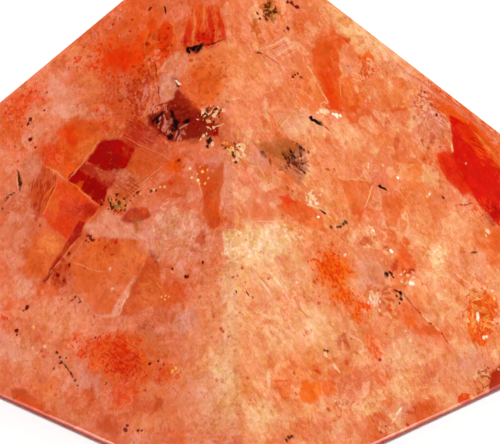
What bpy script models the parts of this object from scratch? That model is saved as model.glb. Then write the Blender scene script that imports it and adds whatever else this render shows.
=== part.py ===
# Sunstone pyramid: one solid piece of feldspar, cut as a square pyramid and polished.
# Metres, +Z up. The base lies on z = 0 with the middle of its square at the origin.
# Its sides run along X and Y.
import math

import bpy
import bmesh
from mathutils import Matrix, Vector

# Driving dimensions
BASE_SIDE = 0.0500
HEIGHT = 0.03025
# The stone was cut by hand, and its tip stands a little off the middle of the base
TIP_SHIFT = Vector((-0.00097, -0.00097, 0.0))
# Polishing rounded the four slanting ridges more than the edges around the base
RIDGE_RADIUS = 0.00055
BASE_EDGE_RADIUS = 0.00030
EDGE_SEGMENTS = 5

# Finish of the polished stone
STONE_COLOUR = (0.83, 0.28, 0.14, 1.0)
STONE_ROUGHNESS = 0.16
STONE_IOR = 1.54


def empty_scene():
    for thing in list(bpy.data.objects):
        bpy.data.objects.remove(thing, do_unlink=True)


def stone_material():
    material = bpy.data.materials.new("polished_sunstone")
    material.use_nodes = True
    shader = material.node_tree.nodes["Principled BSDF"]
    shader.inputs["Base Color"].default_value = STONE_COLOUR
    shader.inputs["Roughness"].default_value = STONE_ROUGHNESS
    shader.inputs["Metallic"].default_value = 0.0
    shader.inputs["IOR"].default_value = STONE_IOR
    return material


def setback(radius, angle_between_faces):
    # How far from a sharp edge a rounding of this radius starts, measured along either face
    return radius / math.tan(angle_between_faces / 2)


def face_slope():
    # Angle between the base and a side face of the evenly cut pyramid
    return math.atan2(HEIGHT, BASE_SIDE / 2)


def ridge_angle():
    # Angle inside the stone between two neighbouring side faces
    return math.acos(-math.cos(face_slope()) ** 2)


def sharp_pyramid(name):
    # A cone with four sides, turned until its base runs along X and Y
    mesh = bpy.data.meshes.new(name)
    shape = bmesh.new()
    bmesh.ops.create_cone(
        shape,
        cap_ends=True,
        segments=4,
        radius1=BASE_SIDE / math.sqrt(2),
        radius2=0.0,
        depth=HEIGHT,
        matrix=Matrix.Translation((0.0, 0.0, HEIGHT / 2)) @ Matrix.Rotation(math.radians(45), 4, "Z"),
    )
    bmesh.ops.remove_doubles(shape, verts=shape.verts, dist=0.00001)
    tip = max(shape.verts, key=lambda vertex: vertex.co.z)
    tip.co += TIP_SHIFT

    base_setback = setback(BASE_EDGE_RADIUS, face_slope())
    ridge_setback = setback(RIDGE_RADIUS, ridge_angle())
    widest = max(base_setback, ridge_setback)
    weights = shape.edges.layers.float.new("bevel_weight_edge")
    for edge in shape.edges:
        is_ridge = tip in edge.verts
        edge[weights] = (ridge_setback if is_ridge else base_setback) / widest
    bmesh.ops.recalc_face_normals(shape, faces=shape.faces)
    shape.to_mesh(mesh)
    shape.free()
    return mesh, widest


def build_pyramid(collection):
    mesh, widest_setback = sharp_pyramid("pyramid")
    mesh.materials.append(stone_material())
    stone = bpy.data.objects.new("pyramid", mesh)
    collection.objects.link(stone)
    rounding = stone.modifiers.new("polished_edges", "BEVEL")
    rounding.limit_method = "WEIGHT"
    rounding.offset_type = "OFFSET"
    rounding.width = widest_setback
    rounding.segments = EDGE_SEGMENTS
    rounding.profile = 0.5
    mesh.shade_smooth()
    mesh.set_sharp_from_angle(angle=math.radians(30))
    return stone


def main():
    empty_scene()
    collection = bpy.data.collections.new("sunstone_pyramid")
    bpy.context.scene.collection.children.link(collection)
    build_pyramid(collection)


main()
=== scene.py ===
import functools
import math
import random

import bpy
import numpy as np
from mathutils import Matrix, Vector


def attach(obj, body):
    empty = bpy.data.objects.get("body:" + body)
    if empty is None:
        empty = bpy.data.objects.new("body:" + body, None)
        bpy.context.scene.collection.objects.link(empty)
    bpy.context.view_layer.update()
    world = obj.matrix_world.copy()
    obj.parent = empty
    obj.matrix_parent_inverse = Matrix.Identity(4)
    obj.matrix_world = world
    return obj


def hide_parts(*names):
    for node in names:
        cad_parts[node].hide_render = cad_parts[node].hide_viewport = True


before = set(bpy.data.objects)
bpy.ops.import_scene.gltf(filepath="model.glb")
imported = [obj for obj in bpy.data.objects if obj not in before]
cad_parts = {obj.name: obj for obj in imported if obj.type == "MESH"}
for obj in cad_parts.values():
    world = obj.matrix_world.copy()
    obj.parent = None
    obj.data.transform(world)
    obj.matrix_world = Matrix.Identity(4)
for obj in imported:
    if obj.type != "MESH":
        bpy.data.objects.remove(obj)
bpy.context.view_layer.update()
print("frame loaded:", ", ".join(sorted(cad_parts)))

mm = 0.001

# The stone as cut, before its edges were polished round (millimetres, as in the frame)
stone = {
    "baseSide": 50.0,
    "height": 30.25,
    "tipShift": (-0.97, -0.97),
    "ridgeRadius": 0.55,
    "baseEdgeRadius": 0.30,
    "edgeSegments": 5,
    "smoothAngle": 30,
}

# Camera: the near ridge points almost straight at it (degrees, millimetres and pixels)
view = {
    "azimuth": 44.168,
    "elevation": 23.409,
    "distance": 400.0,
    "targetHeight": 12.0,
    "aimRight": 0.816,
    "aimUp": -5.489,
    "roll": 0.378,
    "pictureWidth": 500,
    "pictureHeight": 444,
    "focalPixels": 5409.3,
    "sensorWidth": 36.0,
    "nearest": 10.0,
    "farthest": 20000.0,
}


def makeCamera():
    azimuth = math.radians(view["azimuth"])
    elevation = math.radians(view["elevation"])
    away = Vector((
        math.sin(azimuth) * math.cos(elevation),
        -math.cos(azimuth) * math.cos(elevation),
        math.sin(elevation),
    ))
    target = Vector((0, 0, view["targetHeight"]))
    place = target + away * view["distance"]
    right = (-away).cross(Vector((0, 0, 1))).normalized()
    up = right.cross(-away)
    aim = target + right * view["aimRight"] + up * view["aimUp"]
    turn = (aim - place).to_track_quat("-Z", "Y").to_matrix().to_4x4()
    roll = Matrix.Rotation(math.radians(view["roll"]), 4, "Z")
    camera = bpy.data.objects.new("camera", bpy.data.cameras.new("camera"))
    bpy.context.scene.collection.objects.link(camera)
    camera.matrix_world = Matrix.Translation(place * mm) @ turn @ roll
    camera.data.sensor_width = view["sensorWidth"]
    camera.data.lens = view["focalPixels"] * view["sensorWidth"] / view["pictureWidth"]
    camera.data.clip_start = view["nearest"] * mm
    camera.data.clip_end = view["farthest"] * mm
    bpy.context.scene.camera = camera
    bpy.context.view_layer.update()
    return camera


camera = makeCamera()
print("camera ready")


# The five flat sides, each with its own flat coordinates in mm: u along the base edge, v up the slope
def makeSides():
    half = stone["baseSide"] / 2
    tip = Vector((*stone["tipShift"], stone["height"]))
    southWest, southEast = Vector((-half, -half, 0)), Vector((half, -half, 0))
    northEast, northWest = Vector((half, half, 0)), Vector((-half, half, 0))
    outlines = {
        "front": [southWest, southEast, tip],
        "right": [southEast, northEast, tip],
        "back": [northEast, northWest, tip],
        "left": [northWest, southWest, tip],
        "base": [northWest, northEast, southEast, southWest],
    }
    sides = {}
    for name, corners in outlines.items():
        along = (corners[1] - corners[0]).normalized()
        normal = along.cross(corners[2] - corners[0]).normalized()
        side = {"corners": corners, "origin": corners[0], "normal": normal}
        side.update({"u": along, "v": normal.cross(along)})
        side["outline"] = [flatten(side, corner) for corner in corners]
        sides[name] = side
    return sides


def flatten(side, point):
    offset = point - side["origin"]
    return np.array([offset.dot(side["u"]), offset.dot(side["v"])])


def outsideBy(side, spot):
    # How far a flat spot lies outside the side's outline; negative inside
    outline, gaps = side["outline"], []
    for start, end in zip(outline, outline[1:] + outline[:1]):
        edge = (end - start) / np.linalg.norm(end - start)
        gap = spot - start
        gaps.append(edge[1] * gap[0] - edge[0] * gap[1])
    return max(gaps)


def sharedEdge(one, other):
    return [corner for corner in one["corners"] if corner in other["corners"]]


def unfolded(one, other):
    # Takes flat coordinates of the other side to those of this one, hinged at their shared edge
    ends = sharedEdge(one, other)
    here = [flatten(one, end) for end in ends]
    there = [flatten(other, end) for end in ends]
    hereTurn = math.atan2(*(here[1] - here[0])[::-1])
    thereTurn = math.atan2(*(there[1] - there[0])[::-1])
    turn = hereTurn - thereTurn
    cosine, sine = math.cos(turn), math.sin(turn)
    matrix = np.array([[cosine, -sine, 0], [sine, cosine, 0], [0, 0, 1.0]])
    matrix[:2, 2] = here[0] - matrix[:2, :2] @ there[0]
    return matrix


sides = makeSides()
shownSides = ("front", "right")
hiddenSides = ("back", "left", "base")
neighbours = {
    (one, other)
    for one in sides for other in sides
    if one != other and len(sharedEdge(sides[one], sides[other])) == 2
}


# Where a pixel of the photograph falls on a side, in that side's flat coordinates
def pixelOn(side, x, y):
    across = (x - view["pictureWidth"] / 2) / view["focalPixels"]
    down = (y - view["pictureHeight"] / 2) / view["focalPixels"]
    ray = camera.matrix_world.to_3x3() @ Vector((across, -down, -1))
    start = camera.matrix_world.translation / mm
    reach = (side["origin"] - start).dot(side["normal"]) / ray.dot(side["normal"])
    return flatten(side, start + ray * reach), reach


def sideAt(x, y):
    # The camera sees the side whose plane its ray crosses last
    return max(shownSides, key=lambda name: pixelOn(sides[name], x, y)[1])


def pixelFrame(side, x, y):
    # The spot under the pixel, and how flat coordinates change from pixel to pixel there
    here = pixelOn(side, x, y)[0]
    perX = (pixelOn(side, x + 1, y)[0] - pixelOn(side, x - 1, y)[0]) / 2
    perY = (pixelOn(side, x, y + 1)[0] - pixelOn(side, x, y - 1)[0]) / 2
    return here, np.column_stack([perX, perY])


# Shader sums: a wire is one node output that takes part in ordinary arithmetic
class Wire:
    def __init__(self, tree, socket=None):
        self.tree = tree
        self.socket = socket

    def node(self, kind, settings=None, inputs=None, output=0):
        made = self.tree.nodes.new(kind if kind.startswith("NodeGroup") else "ShaderNode" + kind)
        for setting, value in (settings or {}).items():
            setattr(made, setting, value)
        for key, value in (inputs or {}).items():
            if isinstance(value, Wire):
                self.tree.links.new(value.socket, made.inputs[key])
            else:
                made.inputs[key].default_value = value
        return Wire(self.tree, made.outputs[output] if made.outputs else None)

    def sum(self, operation, first, second):
        return self.node("Math", {"operation": operation}, {0: first, 1: second})

    def vector(self, operation, first, second, output=0):
        return self.node("VectorMath", {"operation": operation}, {0: first, 1: second}, output)

    def moved(self, offset, scale):
        # This vector with a scaled offset added
        return self.node("VectorMath", {"operation": "MULTIPLY_ADD"}, {0: offset, 1: scale, 2: self})

    def __add__(self, other):
        return self.sum("ADD", self, other)

    def __radd__(self, other):
        return self.sum("ADD", other, self)

    def __sub__(self, other):
        return self.sum("SUBTRACT", self, other)

    def __rsub__(self, other):
        return self.sum("SUBTRACT", other, self)

    def __mul__(self, other):
        return self.sum("MULTIPLY", self, other)

    def __rmul__(self, other):
        return self.sum("MULTIPLY", other, self)

    def step(self, start, end, low=0.0, high=1.0):
        ends = {"From Min": start, "From Max": end, "To Min": low, "To Max": high}
        settings = {"interpolation_type": "SMOOTHSTEP", "clamp": False}
        return self.node("MapRange", settings, {"Value": self, **ends})

    def tint(self, colour, amount):
        settings = {"data_type": "RGBA", "blend_type": "MIX", "clamp_factor": True}
        return self.node("Mix", settings, {0: amount, 6: self, 7: colour}, 2)


# Colours of the feldspar and of what is grown into it, as they look on a screen, and of the glints painted
# where light catches its platelets
stoneLooks = {
    "brightness": 0.98,
    "veil": 0.005,
    "darkest": 0.0005,
    "roughness": 0.12,
    "dullest": 0.22,
    "dullFoot": 0.9,
    "ior": 1.54,
    "bump": 0.2,
    "bumpDepth": 0.02,
    "palette": {
        "ivory": (255, 216, 170),
        "cream": (252, 192, 136),
        "peach": (246, 146, 92),
        "blush": (238, 152, 118),
        "salmon": (240, 130, 88),
        "coral": (230, 104, 62),
        "rose": (234, 122, 84),
        "lilac": (222, 138, 112),
        "apricot": (246, 130, 64),
        "amber": (232, 100, 40),
        "orange": (234, 84, 20),
        "flame": (231, 56, 8),
        "scarlet": (216, 24, 0),
        "brick": (172, 18, 2),
        "rust": (206, 76, 32),
        "ember": (214, 78, 26),
        "tangerine": (250, 106, 14),
        "tan": (198, 104, 60),
        "olive": (172, 92, 36),
        "maroon": (118, 22, 12),
        "umber": (94, 38, 20),
        "soot": (34, 10, 8),
        "garnet": (150, 28, 14),
        # Gold is partly the stone's own yellow and partly painted glint
        "gold": (250, 186, 92),
        # Painted glint: the white of light caught off a platelet
        "paintedGlint": (255, 244, 212),
    },
}


def stoneColour(shade):
    # The polish reflects a thin veil of the room, so the stone itself is that much darker
    tones = []
    for value in shade:
        value = value / 255
        tone = value / 12.92 if value <= 0.04045 else ((value + 0.055) / 1.055) ** 2.4
        tones.append(max(stoneLooks["brightness"] * tone - stoneLooks["veil"], stoneLooks["darkest"]))
    return (*tones, 1.0)


palette = {name: stoneColour(shade) for name, shade in stoneLooks["palette"].items()}


# How marks are laid out: the extra length of a line, the reaches and mm within which a mark is painted
# on a side, the dent in square pixels that a convex part may have, and the overlap of such parts in mm
layout = {"lineLength": 1.08, "reaches": 1.2, "margin": 0.6, "dent": 2.0, "overlap": 0.15}


# Kinds of mark, placed by pixels of the photograph. An oval has its middle, its half widths across and
# down, and its turn below level in degrees; a fleck has its middle and radius
def ovalMark(kind, colour, strength, x, y, across, down, turn=0):
    oval = (x, y, across, down, turn)
    return {"kind": kind, "colour": colour, "strength": strength, "oval": oval, "turn": turn}


wash, grain, cloud, haze, facets, flaws, streaks = [
    functools.partial(ovalMark, kind)
    for kind in ("wash", "grain", "cloud", "haze", "facets", "flaws", "streaks")
]


def line(colour, strength, x1, y1, x2, y2, width):
    along = math.hypot(x2 - x1, y2 - y1) / 2 * layout["lineLength"]
    turn = math.degrees(math.atan2(y2 - y1, x2 - x1))
    return ovalMark("line", colour, strength, (x1 + x2) / 2, (y1 + y2) / 2, along, width / 2, turn)


def panel(colour, strength, *corners):
    return {"kind": "panel", "colour": colour, "strength": strength, "corners": corners}


def flecks(colour, strength, *spots):
    return {"kind": "flecks", "colour": colour, "strength": strength, "spots": spots}


# Wide tones of the ground, and after them the marks, by where they lie in the photograph
tones = {}
tones["wide tones, front side"] = [
    wash("ember", 0.6, 105, 175, 100, 84, 20),
    wash("ember", 0.5, 70, 262, 62, 44, -20),
    wash("ember", 0.65, 118, 96, 66, 46, -30),
    wash("ember", 0.35, 150, 300, 44, 32, -30),
    wash("ember", 0.4, 112, 385, 60, 40, 30),
    wash("orange", 0.6, 120, 28, 60, 34, -35),
    wash("orange", 0.55, 205, 25, 50, 34),
    wash("orange", 0.65, 16, 108, 36, 18, -38),
    wash("orange", 0.4, 14, 140, 20, 22),
    wash("blush", 0.5, 185, 240, 40, 34),
    wash("blush", 0.6, 178, 322, 34, 16),
    wash("peach", 0.85, 224, 345, 40, 96, -4),
    wash("cream", 0.5, 236, 300, 16, 70, -4),
    wash("cream", 0.55, 224, 392, 30, 50, -4),
    wash("peach", 0.6, 196, 405, 44, 44),
    wash("blush", 0.25, 50, 315, 40, 26),
    wash("blush", 0.4, 18, 350, 30, 18, 20),
    wash("blush", 0.35, 15, 205, 20, 34),
    wash("salmon", 0.5, 70, 420, 40, 20, 25),
    wash("salmon", 0.5, 60, 100, 34, 26, -30),
    wash("salmon", 0.6, 140, 190, 20, 26, -40),
    wash("blush", 0.55, 246, 176, 40, 46),
    wash("salmon", 0.4, 250, 70, 30, 50),
    wash("orange", 0.3, 232, 55, 26, 22),
    wash("orange", 0.3, 62, 92, 24, 20),
    wash("rust", 0.35, 20, 204, 24, 24),
    wash("orange", 0.35, 84, 166, 46, 24),
    wash("rust", 0.3, 84, 278, 46, 22),
    wash("orange", 0.25, 126, 350, 46, 22),
    wash("peach", 0.4, 147, 390, 22, 18),
    wash("orange", 0.35, 105, 424, 24, 18),
    wash("rust", 0.25, 231, 130, 22, 20),
    wash("rust", 0.4, 18, 222, 24, 38),
    wash("orange", 0.45, 20, 135, 24, 20),
    wash("orange", 0.35, 64, 92, 22, 18),
    wash("rust", 0.35, 64, 292, 24, 36),
    wash("rust", 0.35, 106, 310, 24, 20),
    wash("orange", 0.35, 126, 345, 40, 18),
    wash("cream", 0.4, 230, 382, 20, 56),
    wash("cream", 0.4, 238, 312, 16, 46),
    wash("peach", 0.35, 194, 362, 26, 46),
    wash("rust", 0.3, 20, 204, 24, 20),
    wash("orange", 0.7, 148, 58, 22, 22),
    wash("rust", 0.4, 146, 94, 18, 20),
    wash("rust", 0.3, 98, 238, 30, 16),
    wash("peach", 0.4, 146, 425, 22, 16),
    wash("orange", 0.3, 190, 58, 24, 16),
    wash("rust", 0.3, 147, 240, 20, 20),
    wash("orange", 0.25, 147, 350, 22, 18),
    wash("apricot", 0.3, 232, 22, 26, 20),
]
tones["wide tones, right side"] = [
    wash("peach", 0.65, 420, 255, 80, 70),
    wash("peach", 0.6, 290, 320, 60, 80, -20),
    wash("cream", 0.4, 320, 330, 40, 40, -20),
    wash("cream", 0.45, 396, 62, 36, 18, 38),
    wash("cream", 0.5, 446, 408, 36, 22, -25),
    wash("cream", 0.35, 440, 310, 24, 22, 0),
    wash("cream", 0.75, 268, 258, 44, 36, 30),
    wash("cream", 0.55, 262, 330, 30, 60, -25),
    wash("cream", 0.6, 360, 34, 36, 16, 38),
    wash("cream", 0.5, 438, 262, 12, 30, 15),
    wash("peach", 0.6, 330, 150, 70, 26, 5),
    wash("rose", 0.5, 300, 60, 40, 34),
    wash("peach", 0.6, 400, 88, 46, 28, 38),
    wash("apricot", 0.5, 385, 95, 40, 16, 10),
    wash("apricot", 0.6, 300, 375, 46, 34),
    wash("blush", 0.5, 400, 355, 40, 26),
    wash("rose", 0.5, 350, 385, 40, 26),
    wash("blush", 0.5, 455, 370, 40, 26, -20),
    wash("cream", 0.4, 262, 420, 22, 26),
    wash("rose", 0.5, 350, 430, 60, 20),
    wash("apricot", 0.5, 410, 180, 24, 26),
    wash("blush", 0.4, 372, 268, 26, 22),
    wash("apricot", 0.6, 492, 250, 18, 30),
    wash("peach", 0.5, 470, 225, 30, 26),
    wash("orange", 0.4, 312, 92, 26, 24),
    wash("apricot", 0.35, 357, 128, 24, 20),
    wash("amber", 0.4, 432, 150, 18, 44),
    wash("cream", 0.4, 357, 350, 22, 20),
    wash("cream", 0.45, 399, 390, 24, 18),
    wash("cream", 0.5, 345, 22, 30, 14, 38),
    wash("cream", 0.45, 441, 424, 24, 16),
    wash("apricot", 0.5, 428, 416, 30, 14, -24),
    wash("cream", 0.4, 400, 424, 20, 16),
    wash("amber", 0.3, 272, 92, 20, 18),
    wash("orange", 0.4, 357, 104, 24, 34),
    wash("orange", 0.35, 398, 272, 22, 22),
    wash("orange", 0.4, 335, 95, 42, 20),
    wash("rose", 0.5, 438, 140, 20, 40),
    wash("amber", 0.4, 394, 252, 24, 38),
    wash("rust", 0.25, 290, 203, 42, 20),
    wash("cream", 0.4, 315, 280, 18, 22),
    wash("amber", 0.3, 315, 62, 24, 24),
    wash("amber", 0.35, 440, 168, 18, 28),
    wash("orange", 0.3, 400, 204, 22, 20),
    wash("apricot", 0.3, 272, 20, 22, 20),
]
tones["wide tones along the near ridge"] = [
    wash("peach", 0.6, 250, 350, 22, 110),
    wash("salmon", 0.55, 250, 195, 20, 50),
    wash("salmon", 0.5, 250, 110, 18, 60),
    wash("salmon", 0.6, 248, 30, 20, 40),
    wash("rust", 0.2, 250, 94, 90, 20),
    wash("rust", 0.2, 228, 128, 26, 18),
]

marks = {}
marks["top of the front side"] = [
    wash("rose", 0.5, 176, 6, 20, 8),
    wash("orange", 0.6, 148, 40, 26, 32),
    cloud("rust", 0.5, 110, 32, 44, 32, -35),
    panel("orange", 0.75, (165, 19), (172, 25), (179, 41), (174, 51), (160, 61), (155, 45), (158, 29)),
    grain("flame", 0.8, 166, 35, 8, 14, 5),
    grain("flame", 0.8, 162, 53, 8, 9),
    cloud("brick", 0.6, 164, 44, 12, 18),
    wash("flame", 0.7, 150, 30, 5, 9),
    panel(
        "orange", 0.6, (181, 50), (186, 24), (196, 8), (216, 3), (223, 14), (226, 41), (212, 44),
        (200, 48),
    ),
    wash("flame", 0.5, 204, 38, 17, 12),
    wash("scarlet", 0.85, 204, 40, 10, 12),
    line("scarlet", 0.7, 190, 22, 186, 46, 7),
    line("flame", 0.6, 199, 12, 198, 32, 6),
    line("scarlet", 0.7, 209, 8, 214, 42, 6),
    line("scarlet", 0.65, 217, 8, 225, 40, 5),
    line("brick", 0.5, 187, 36, 185, 48, 4),
    streaks("scarlet", 0.45, 206, 30, 26, 20, 100),
    cloud("brick", 0.5, 204, 38, 16, 12),
    flecks("brick", 0.9, (194, 37, 1.5), (204, 34, 1.7), (214, 30, 1.5), (221, 36, 1.4), (199, 42, 1.6)),
    line("apricot", 0.7, 193, 46, 195, 10, 3),
    line("apricot", 0.6, 203, 26, 205, 3, 3),
    line("apricot", 0.35, 169, 18, 181, 44, 2.4),
    grain("salmon", 0.6, 232, 22, 7, 24, -8),
    wash("salmon", 0.6, 244, 20, 12, 34, -8),
    flaws("umber", 0.5, 149, 56, 9, 28, 5),
    flaws("rust", 0.5, 151, 50, 8, 26, 5),
    facets("blush", 0.5, 152, 62, 8, 22, 5),
    line("soot", 0.95, 164, 6, 166.5, 15.5, 2.4),
    flecks(
        "maroon", 0.95, (147.5, 44.5, 2.4), (149.5, 60, 1.9), (144, 71, 2.2), (134.5, 52, 1.8),
        (149.5, 9, 1.6),
    ),
    flecks("brick", 0.85, (132, 20, 1.5), (131, 31, 1.5), (113, 24, 1.5), (152, 47, 1.3), (147, 52, 1.3)),
    line("soot", 1.0, 187, 50, 203, 47, 6),
    panel("soot", 1.0, (186, 47), (194, 46), (204, 44), (203, 49.5), (196, 52.5), (187, 53)),
    flecks("soot", 1.0, (189, 51, 3.4), (195, 49, 4), (200.5, 47.5, 3.4)),
    line("umber", 0.9, 202, 46, 224, 40, 1.8),
    flecks("umber", 0.85, (214, 43, 1.6), (196, 53, 1.5), (209, 45, 1.3)),
    flecks("brick", 0.8, (168, 28, 1.6), (160, 40, 1.5), (172, 46, 1.6), (158, 56, 1.7), (166, 57, 1.4)),
    flecks("rust", 0.85, (120, 18, 1.6), (126, 26, 1.4), (139, 28, 1.7), (137, 40, 1.4), (106, 30, 1.5)),
]
marks["red cloud on the upper edge"] = [
    wash("orange", 0.6, 124, 58, 42, 26, 10),
    wash("flame", 0.95, 120, 61, 21, 17, 15),
    wash("scarlet", 0.35, 124, 62, 9, 8),
    cloud("flame", 0.9, 112, 58, 32, 20),
    haze("peach", 0.6, 76, 56, 14, 16, -35),
    wash("flame", 0.6, 138, 50, 12, 14),
    cloud("scarlet", 0.7, 78, 60, 9, 9),
    grain("flame", 0.6, 78, 60, 3, 3),
    flecks("scarlet", 0.7, (68, 70, 1.4), (84, 47, 1.6), (90, 68, 1.8), (97, 61, 1.6), (88, 56, 1.3)),
    flecks("flame", 0.7, (118, 41, 1.8), (128, 45, 1.6), (101, 77, 1.6), (110, 82, 1.5), (92, 38, 1.5)),
]
marks["speckled left edge"] = [
    cloud("flame", 0.7, 22, 104, 34, 15, -38),
    cloud("rust", 0.6, 10, 126, 20, 22, 0),
    flecks(
        "scarlet", 0.7, (23, 96, 2), (30, 92, 2.2), (26, 107, 1.8), (10, 114, 1.8), (6, 112, 1.5),
        (36, 90, 1.4),
    ),
    haze("blush", 0.75, 62, 92, 16, 24, -30),
    haze("blush", 0.75, 74, 112, 40, 7, 4),
    haze("blush", 0.7, 34, 136, 12, 20, 15),
    haze("lilac", 0.5, 32, 172, 12, 20, 10),
    wash("orange", 0.5, 40, 146, 10, 8),
    flecks(
        "maroon", 1.0, (31, 119.5, 2.8), (28.5, 123.5, 1.8), (31, 139.5, 2.4), (44, 110, 1.5),
        (47, 92, 1.4), (36, 146.5, 1.6),
    ),
    flecks("brick", 0.7, (97, 110, 2), (67.5, 68, 1.3), (18, 161, 1.2), (14, 147, 1.2), (22, 126, 1.4)),
    line("soot", 0.95, 18, 169, 20, 192, 3.4),
    line("umber", 0.8, 19.5, 174, 21, 188, 2.5),
    line("soot", 0.85, 15, 193.5, 9.5, 195, 2.4),
    line("soot", 0.85, 9.5, 195, 6, 202, 2),
    line("cream", 0.5, 16.5, 176, 17, 190, 1.6),
    flecks(
        "umber", 0.9, (41, 224.5, 1.6), (43, 237, 1.5), (35, 244.5, 1.2), (3, 208, 1.6), (8, 213, 1.3),
    ),
    facets("blush", 0.25, 16, 206, 22, 22),
    haze("blush", 0.3, 20, 226, 22, 24),
]
marks["orange ground above the blocks"] = [
    wash("orange", 0.55, 104, 92, 24, 26, 0),
    wash("amber", 0.6, 96, 120, 26, 9),
    cloud("brick", 0.45, 105, 95, 36, 26),
    cloud("flame", 0.4, 110, 126, 34, 9),
    haze("peach", 0.45, 92, 88, 16, 20),
    line("peach", 0.5, 119, 87, 133, 107, 1.6),
    line("peach", 0.7, 133, 107, 137, 118, 2.4),
    wash("rust", 0.6, 138, 92, 18, 30, 0),
    cloud("brick", 0.6, 140, 92, 20, 34),
    facets("blush", 0.35, 147, 96, 12, 20),
    flecks("flame", 0.85, (140, 123, 3.4), (136, 119, 2), (97, 110, 2.2), (107, 129, 3), (104, 123, 1.8)),
    facets("peach", 0.3, 120, 128, 16, 8, 20),
]
marks["streaked red ground beside the mica"] = [
    wash("rust", 0.8, 143, 131, 26, 18, 28),
    wash("brick", 0.65, 144, 134, 24, 13, 30),
    streaks("brick", 0.85, 146, 138, 34, 19, 30),
    streaks("rose", 0.4, 148, 142, 32, 14, 30),
    streaks("scarlet", 0.5, 134, 142, 18, 8, 20),
    wash("brick", 0.5, 130, 142, 16, 6, 15),
    line("peach", 0.5, 124, 137, 166, 157, 1.4),
]
marks["mica cluster"] = [
    panel(
        "garnet", 0.92, (178, 88), (188, 97), (196, 106), (210, 116), (219, 128), (219, 136), (192, 137),
        (183, 141), (171, 142), (160, 134), (149, 124), (147, 116), (158, 111), (168, 104),
    ),
    wash("maroon", 0.6, 158, 119, 12, 9),
    wash("brick", 0.6, 202, 120, 14, 12),
    flaws("maroon", 0.7, 176, 120, 34, 22),
    flecks(
        "lilac", 0.6, (160, 118, 1.5), (164, 126, 1.8), (158, 127, 1.3), (168, 131, 1.4), (181, 139, 1.6),
    ),
    facets("lilac", 0.5, 166, 122, 11, 15),
    wash("maroon", 0.45, 190, 124, 26, 16),
    facets("blush", 0.4, 178, 134, 10, 8),
    line("soot", 0.95, 151, 124, 163, 111, 4),
    line("soot", 0.95, 170.5, 109, 175, 124, 5),
    line("soot", 0.95, 175, 120, 178, 133, 4.6),
    line("soot", 0.9, 182, 123.5, 191, 119.5, 3.6),
    flecks(
        "soot", 0.95, (176, 124, 4.2), (170, 137, 3.8), (187, 121.5, 3), (157, 122, 2.4), (173, 130, 2.2),
    ),
    line("lilac", 0.7, 179, 128, 188, 123.5, 1.8),
    line("lilac", 0.65, 177.5, 129, 174, 140, 2.2),
    line("lilac", 0.6, 163, 113, 167, 124, 1.8),
    line("lilac", 0.7, 181, 133, 177, 143, 1.8),
    flecks("soot", 0.95, (209.5, 141, 3.8), (207.5, 146, 2.4)),
    line("soot", 0.85, 212.5, 135, 208, 147, 1.8),
    # Painted glints: ivory sparkles of light among the mica
    flecks("ivory", 0.8, (203, 136, 1.8), (213.5, 144.5, 2), (206, 133.5, 1.5), (200, 139, 1.3)),
    flecks("brick", 0.95, (215.5, 132.5, 4.2)),
    panel("garnet", 0.9, (170, 76), (176, 74), (179, 78), (177, 84), (172, 82)),
    line("soot", 0.95, 173, 84, 181, 87, 3.2),
    # Painted glint on the black hook
    line("paintedGlint", 0.95, 175, 81, 182, 84.5, 2.4),
    line("umber", 0.85, 154, 58, 158, 80, 1.5),
    line("umber", 0.8, 158, 79, 159.5, 102, 1.4),
]
marks["broken grit right of the mica"] = [
    flaws("umber", 0.95, 210, 113, 14, 12, 30),
    facets("cream", 0.9, 211, 117, 15, 14, 30),
    flaws("brick", 0.8, 215, 120, 10, 10),
    flecks(
        "umber", 0.9, (202, 104, 1.8), (207, 109, 2), (212, 113, 1.8), (216, 108, 1.4), (219, 117, 1.6),
    ),
    flecks("soot", 0.85, (205, 113, 1.5), (214, 122, 1.6), (209, 105, 1.3), (220, 110, 1.2)),
    line("cream", 0.8, 211, 129, 223, 124, 1.8),
    line("cream", 0.7, 198, 105, 208, 114, 1.5),
    wash("orange", 0.5, 229, 146, 8, 6),
    flaws("umber", 0.8, 232, 146, 12, 9),
    facets("gold", 0.7, 231, 148, 11, 8),
    facets("ivory", 0.6, 238, 152, 9, 11),
    flecks("umber", 0.95, (225, 148, 1.7), (233, 155.5, 1.9), (235, 162.5, 1.8), (239, 146, 1.5)),
]
marks["smooth grain below the fan"] = [
    panel(
        "peach", 0.6, (183, 72), (188, 58), (204, 53), (223, 43), (240, 44), (262, 58), (271, 80),
        (262, 97), (240, 101), (223, 104), (207, 107), (196, 101), (186, 92),
    ),
    wash("orange", 0.75, 203, 82, 22, 26),
    wash("apricot", 0.6, 218, 72, 24, 28),
    wash("orange", 0.4, 212, 82, 20, 20),
    wash("tangerine", 0.3, 212, 76, 22, 24),
    wash("peach", 0.4, 250, 66, 16, 20),
    cloud("rust", 0.3, 204, 76, 26, 30),
    flaws("rust", 0.5, 212, 76, 22, 24),
    flecks(
        "rust", 0.9, (191, 60, 2.2), (209, 73, 1.7), (211, 57, 1.5), (194, 66, 1.4), (208, 92, 1.4),
        (216, 81, 1.3),
    ),
    flecks("rust", 0.8, (200, 60, 1.4), (222, 62, 1.5), (226, 76, 1.3), (200, 84, 1.6), (218, 94, 1.4)),
    panel("blush", 0.6, (160, 70), (168, 60), (178, 52), (188, 53), (187, 70), (178, 80), (166, 76)),
    facets("rose", 0.6, 172, 66, 14, 14),
    line("cream", 0.3, 160, 70, 172, 56, 1.8),
    panel("lilac", 0.75, (161, 76), (170, 74), (178, 88), (172, 98), (164, 104), (160, 98)),
    haze("blush", 0.6, 168, 90, 7, 12, -10),
    panel(
        "salmon", 0.7, (224, 104), (240, 98), (258, 104), (264, 118), (250, 131), (234, 130), (222, 118),
    ),
    haze("peach", 0.5, 244, 116, 16, 12),
    line("umber", 0.9, 225, 102, 233, 100.5, 2.4),
    line("cream", 0.5, 224, 103, 240, 97, 1.8),
]
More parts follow.
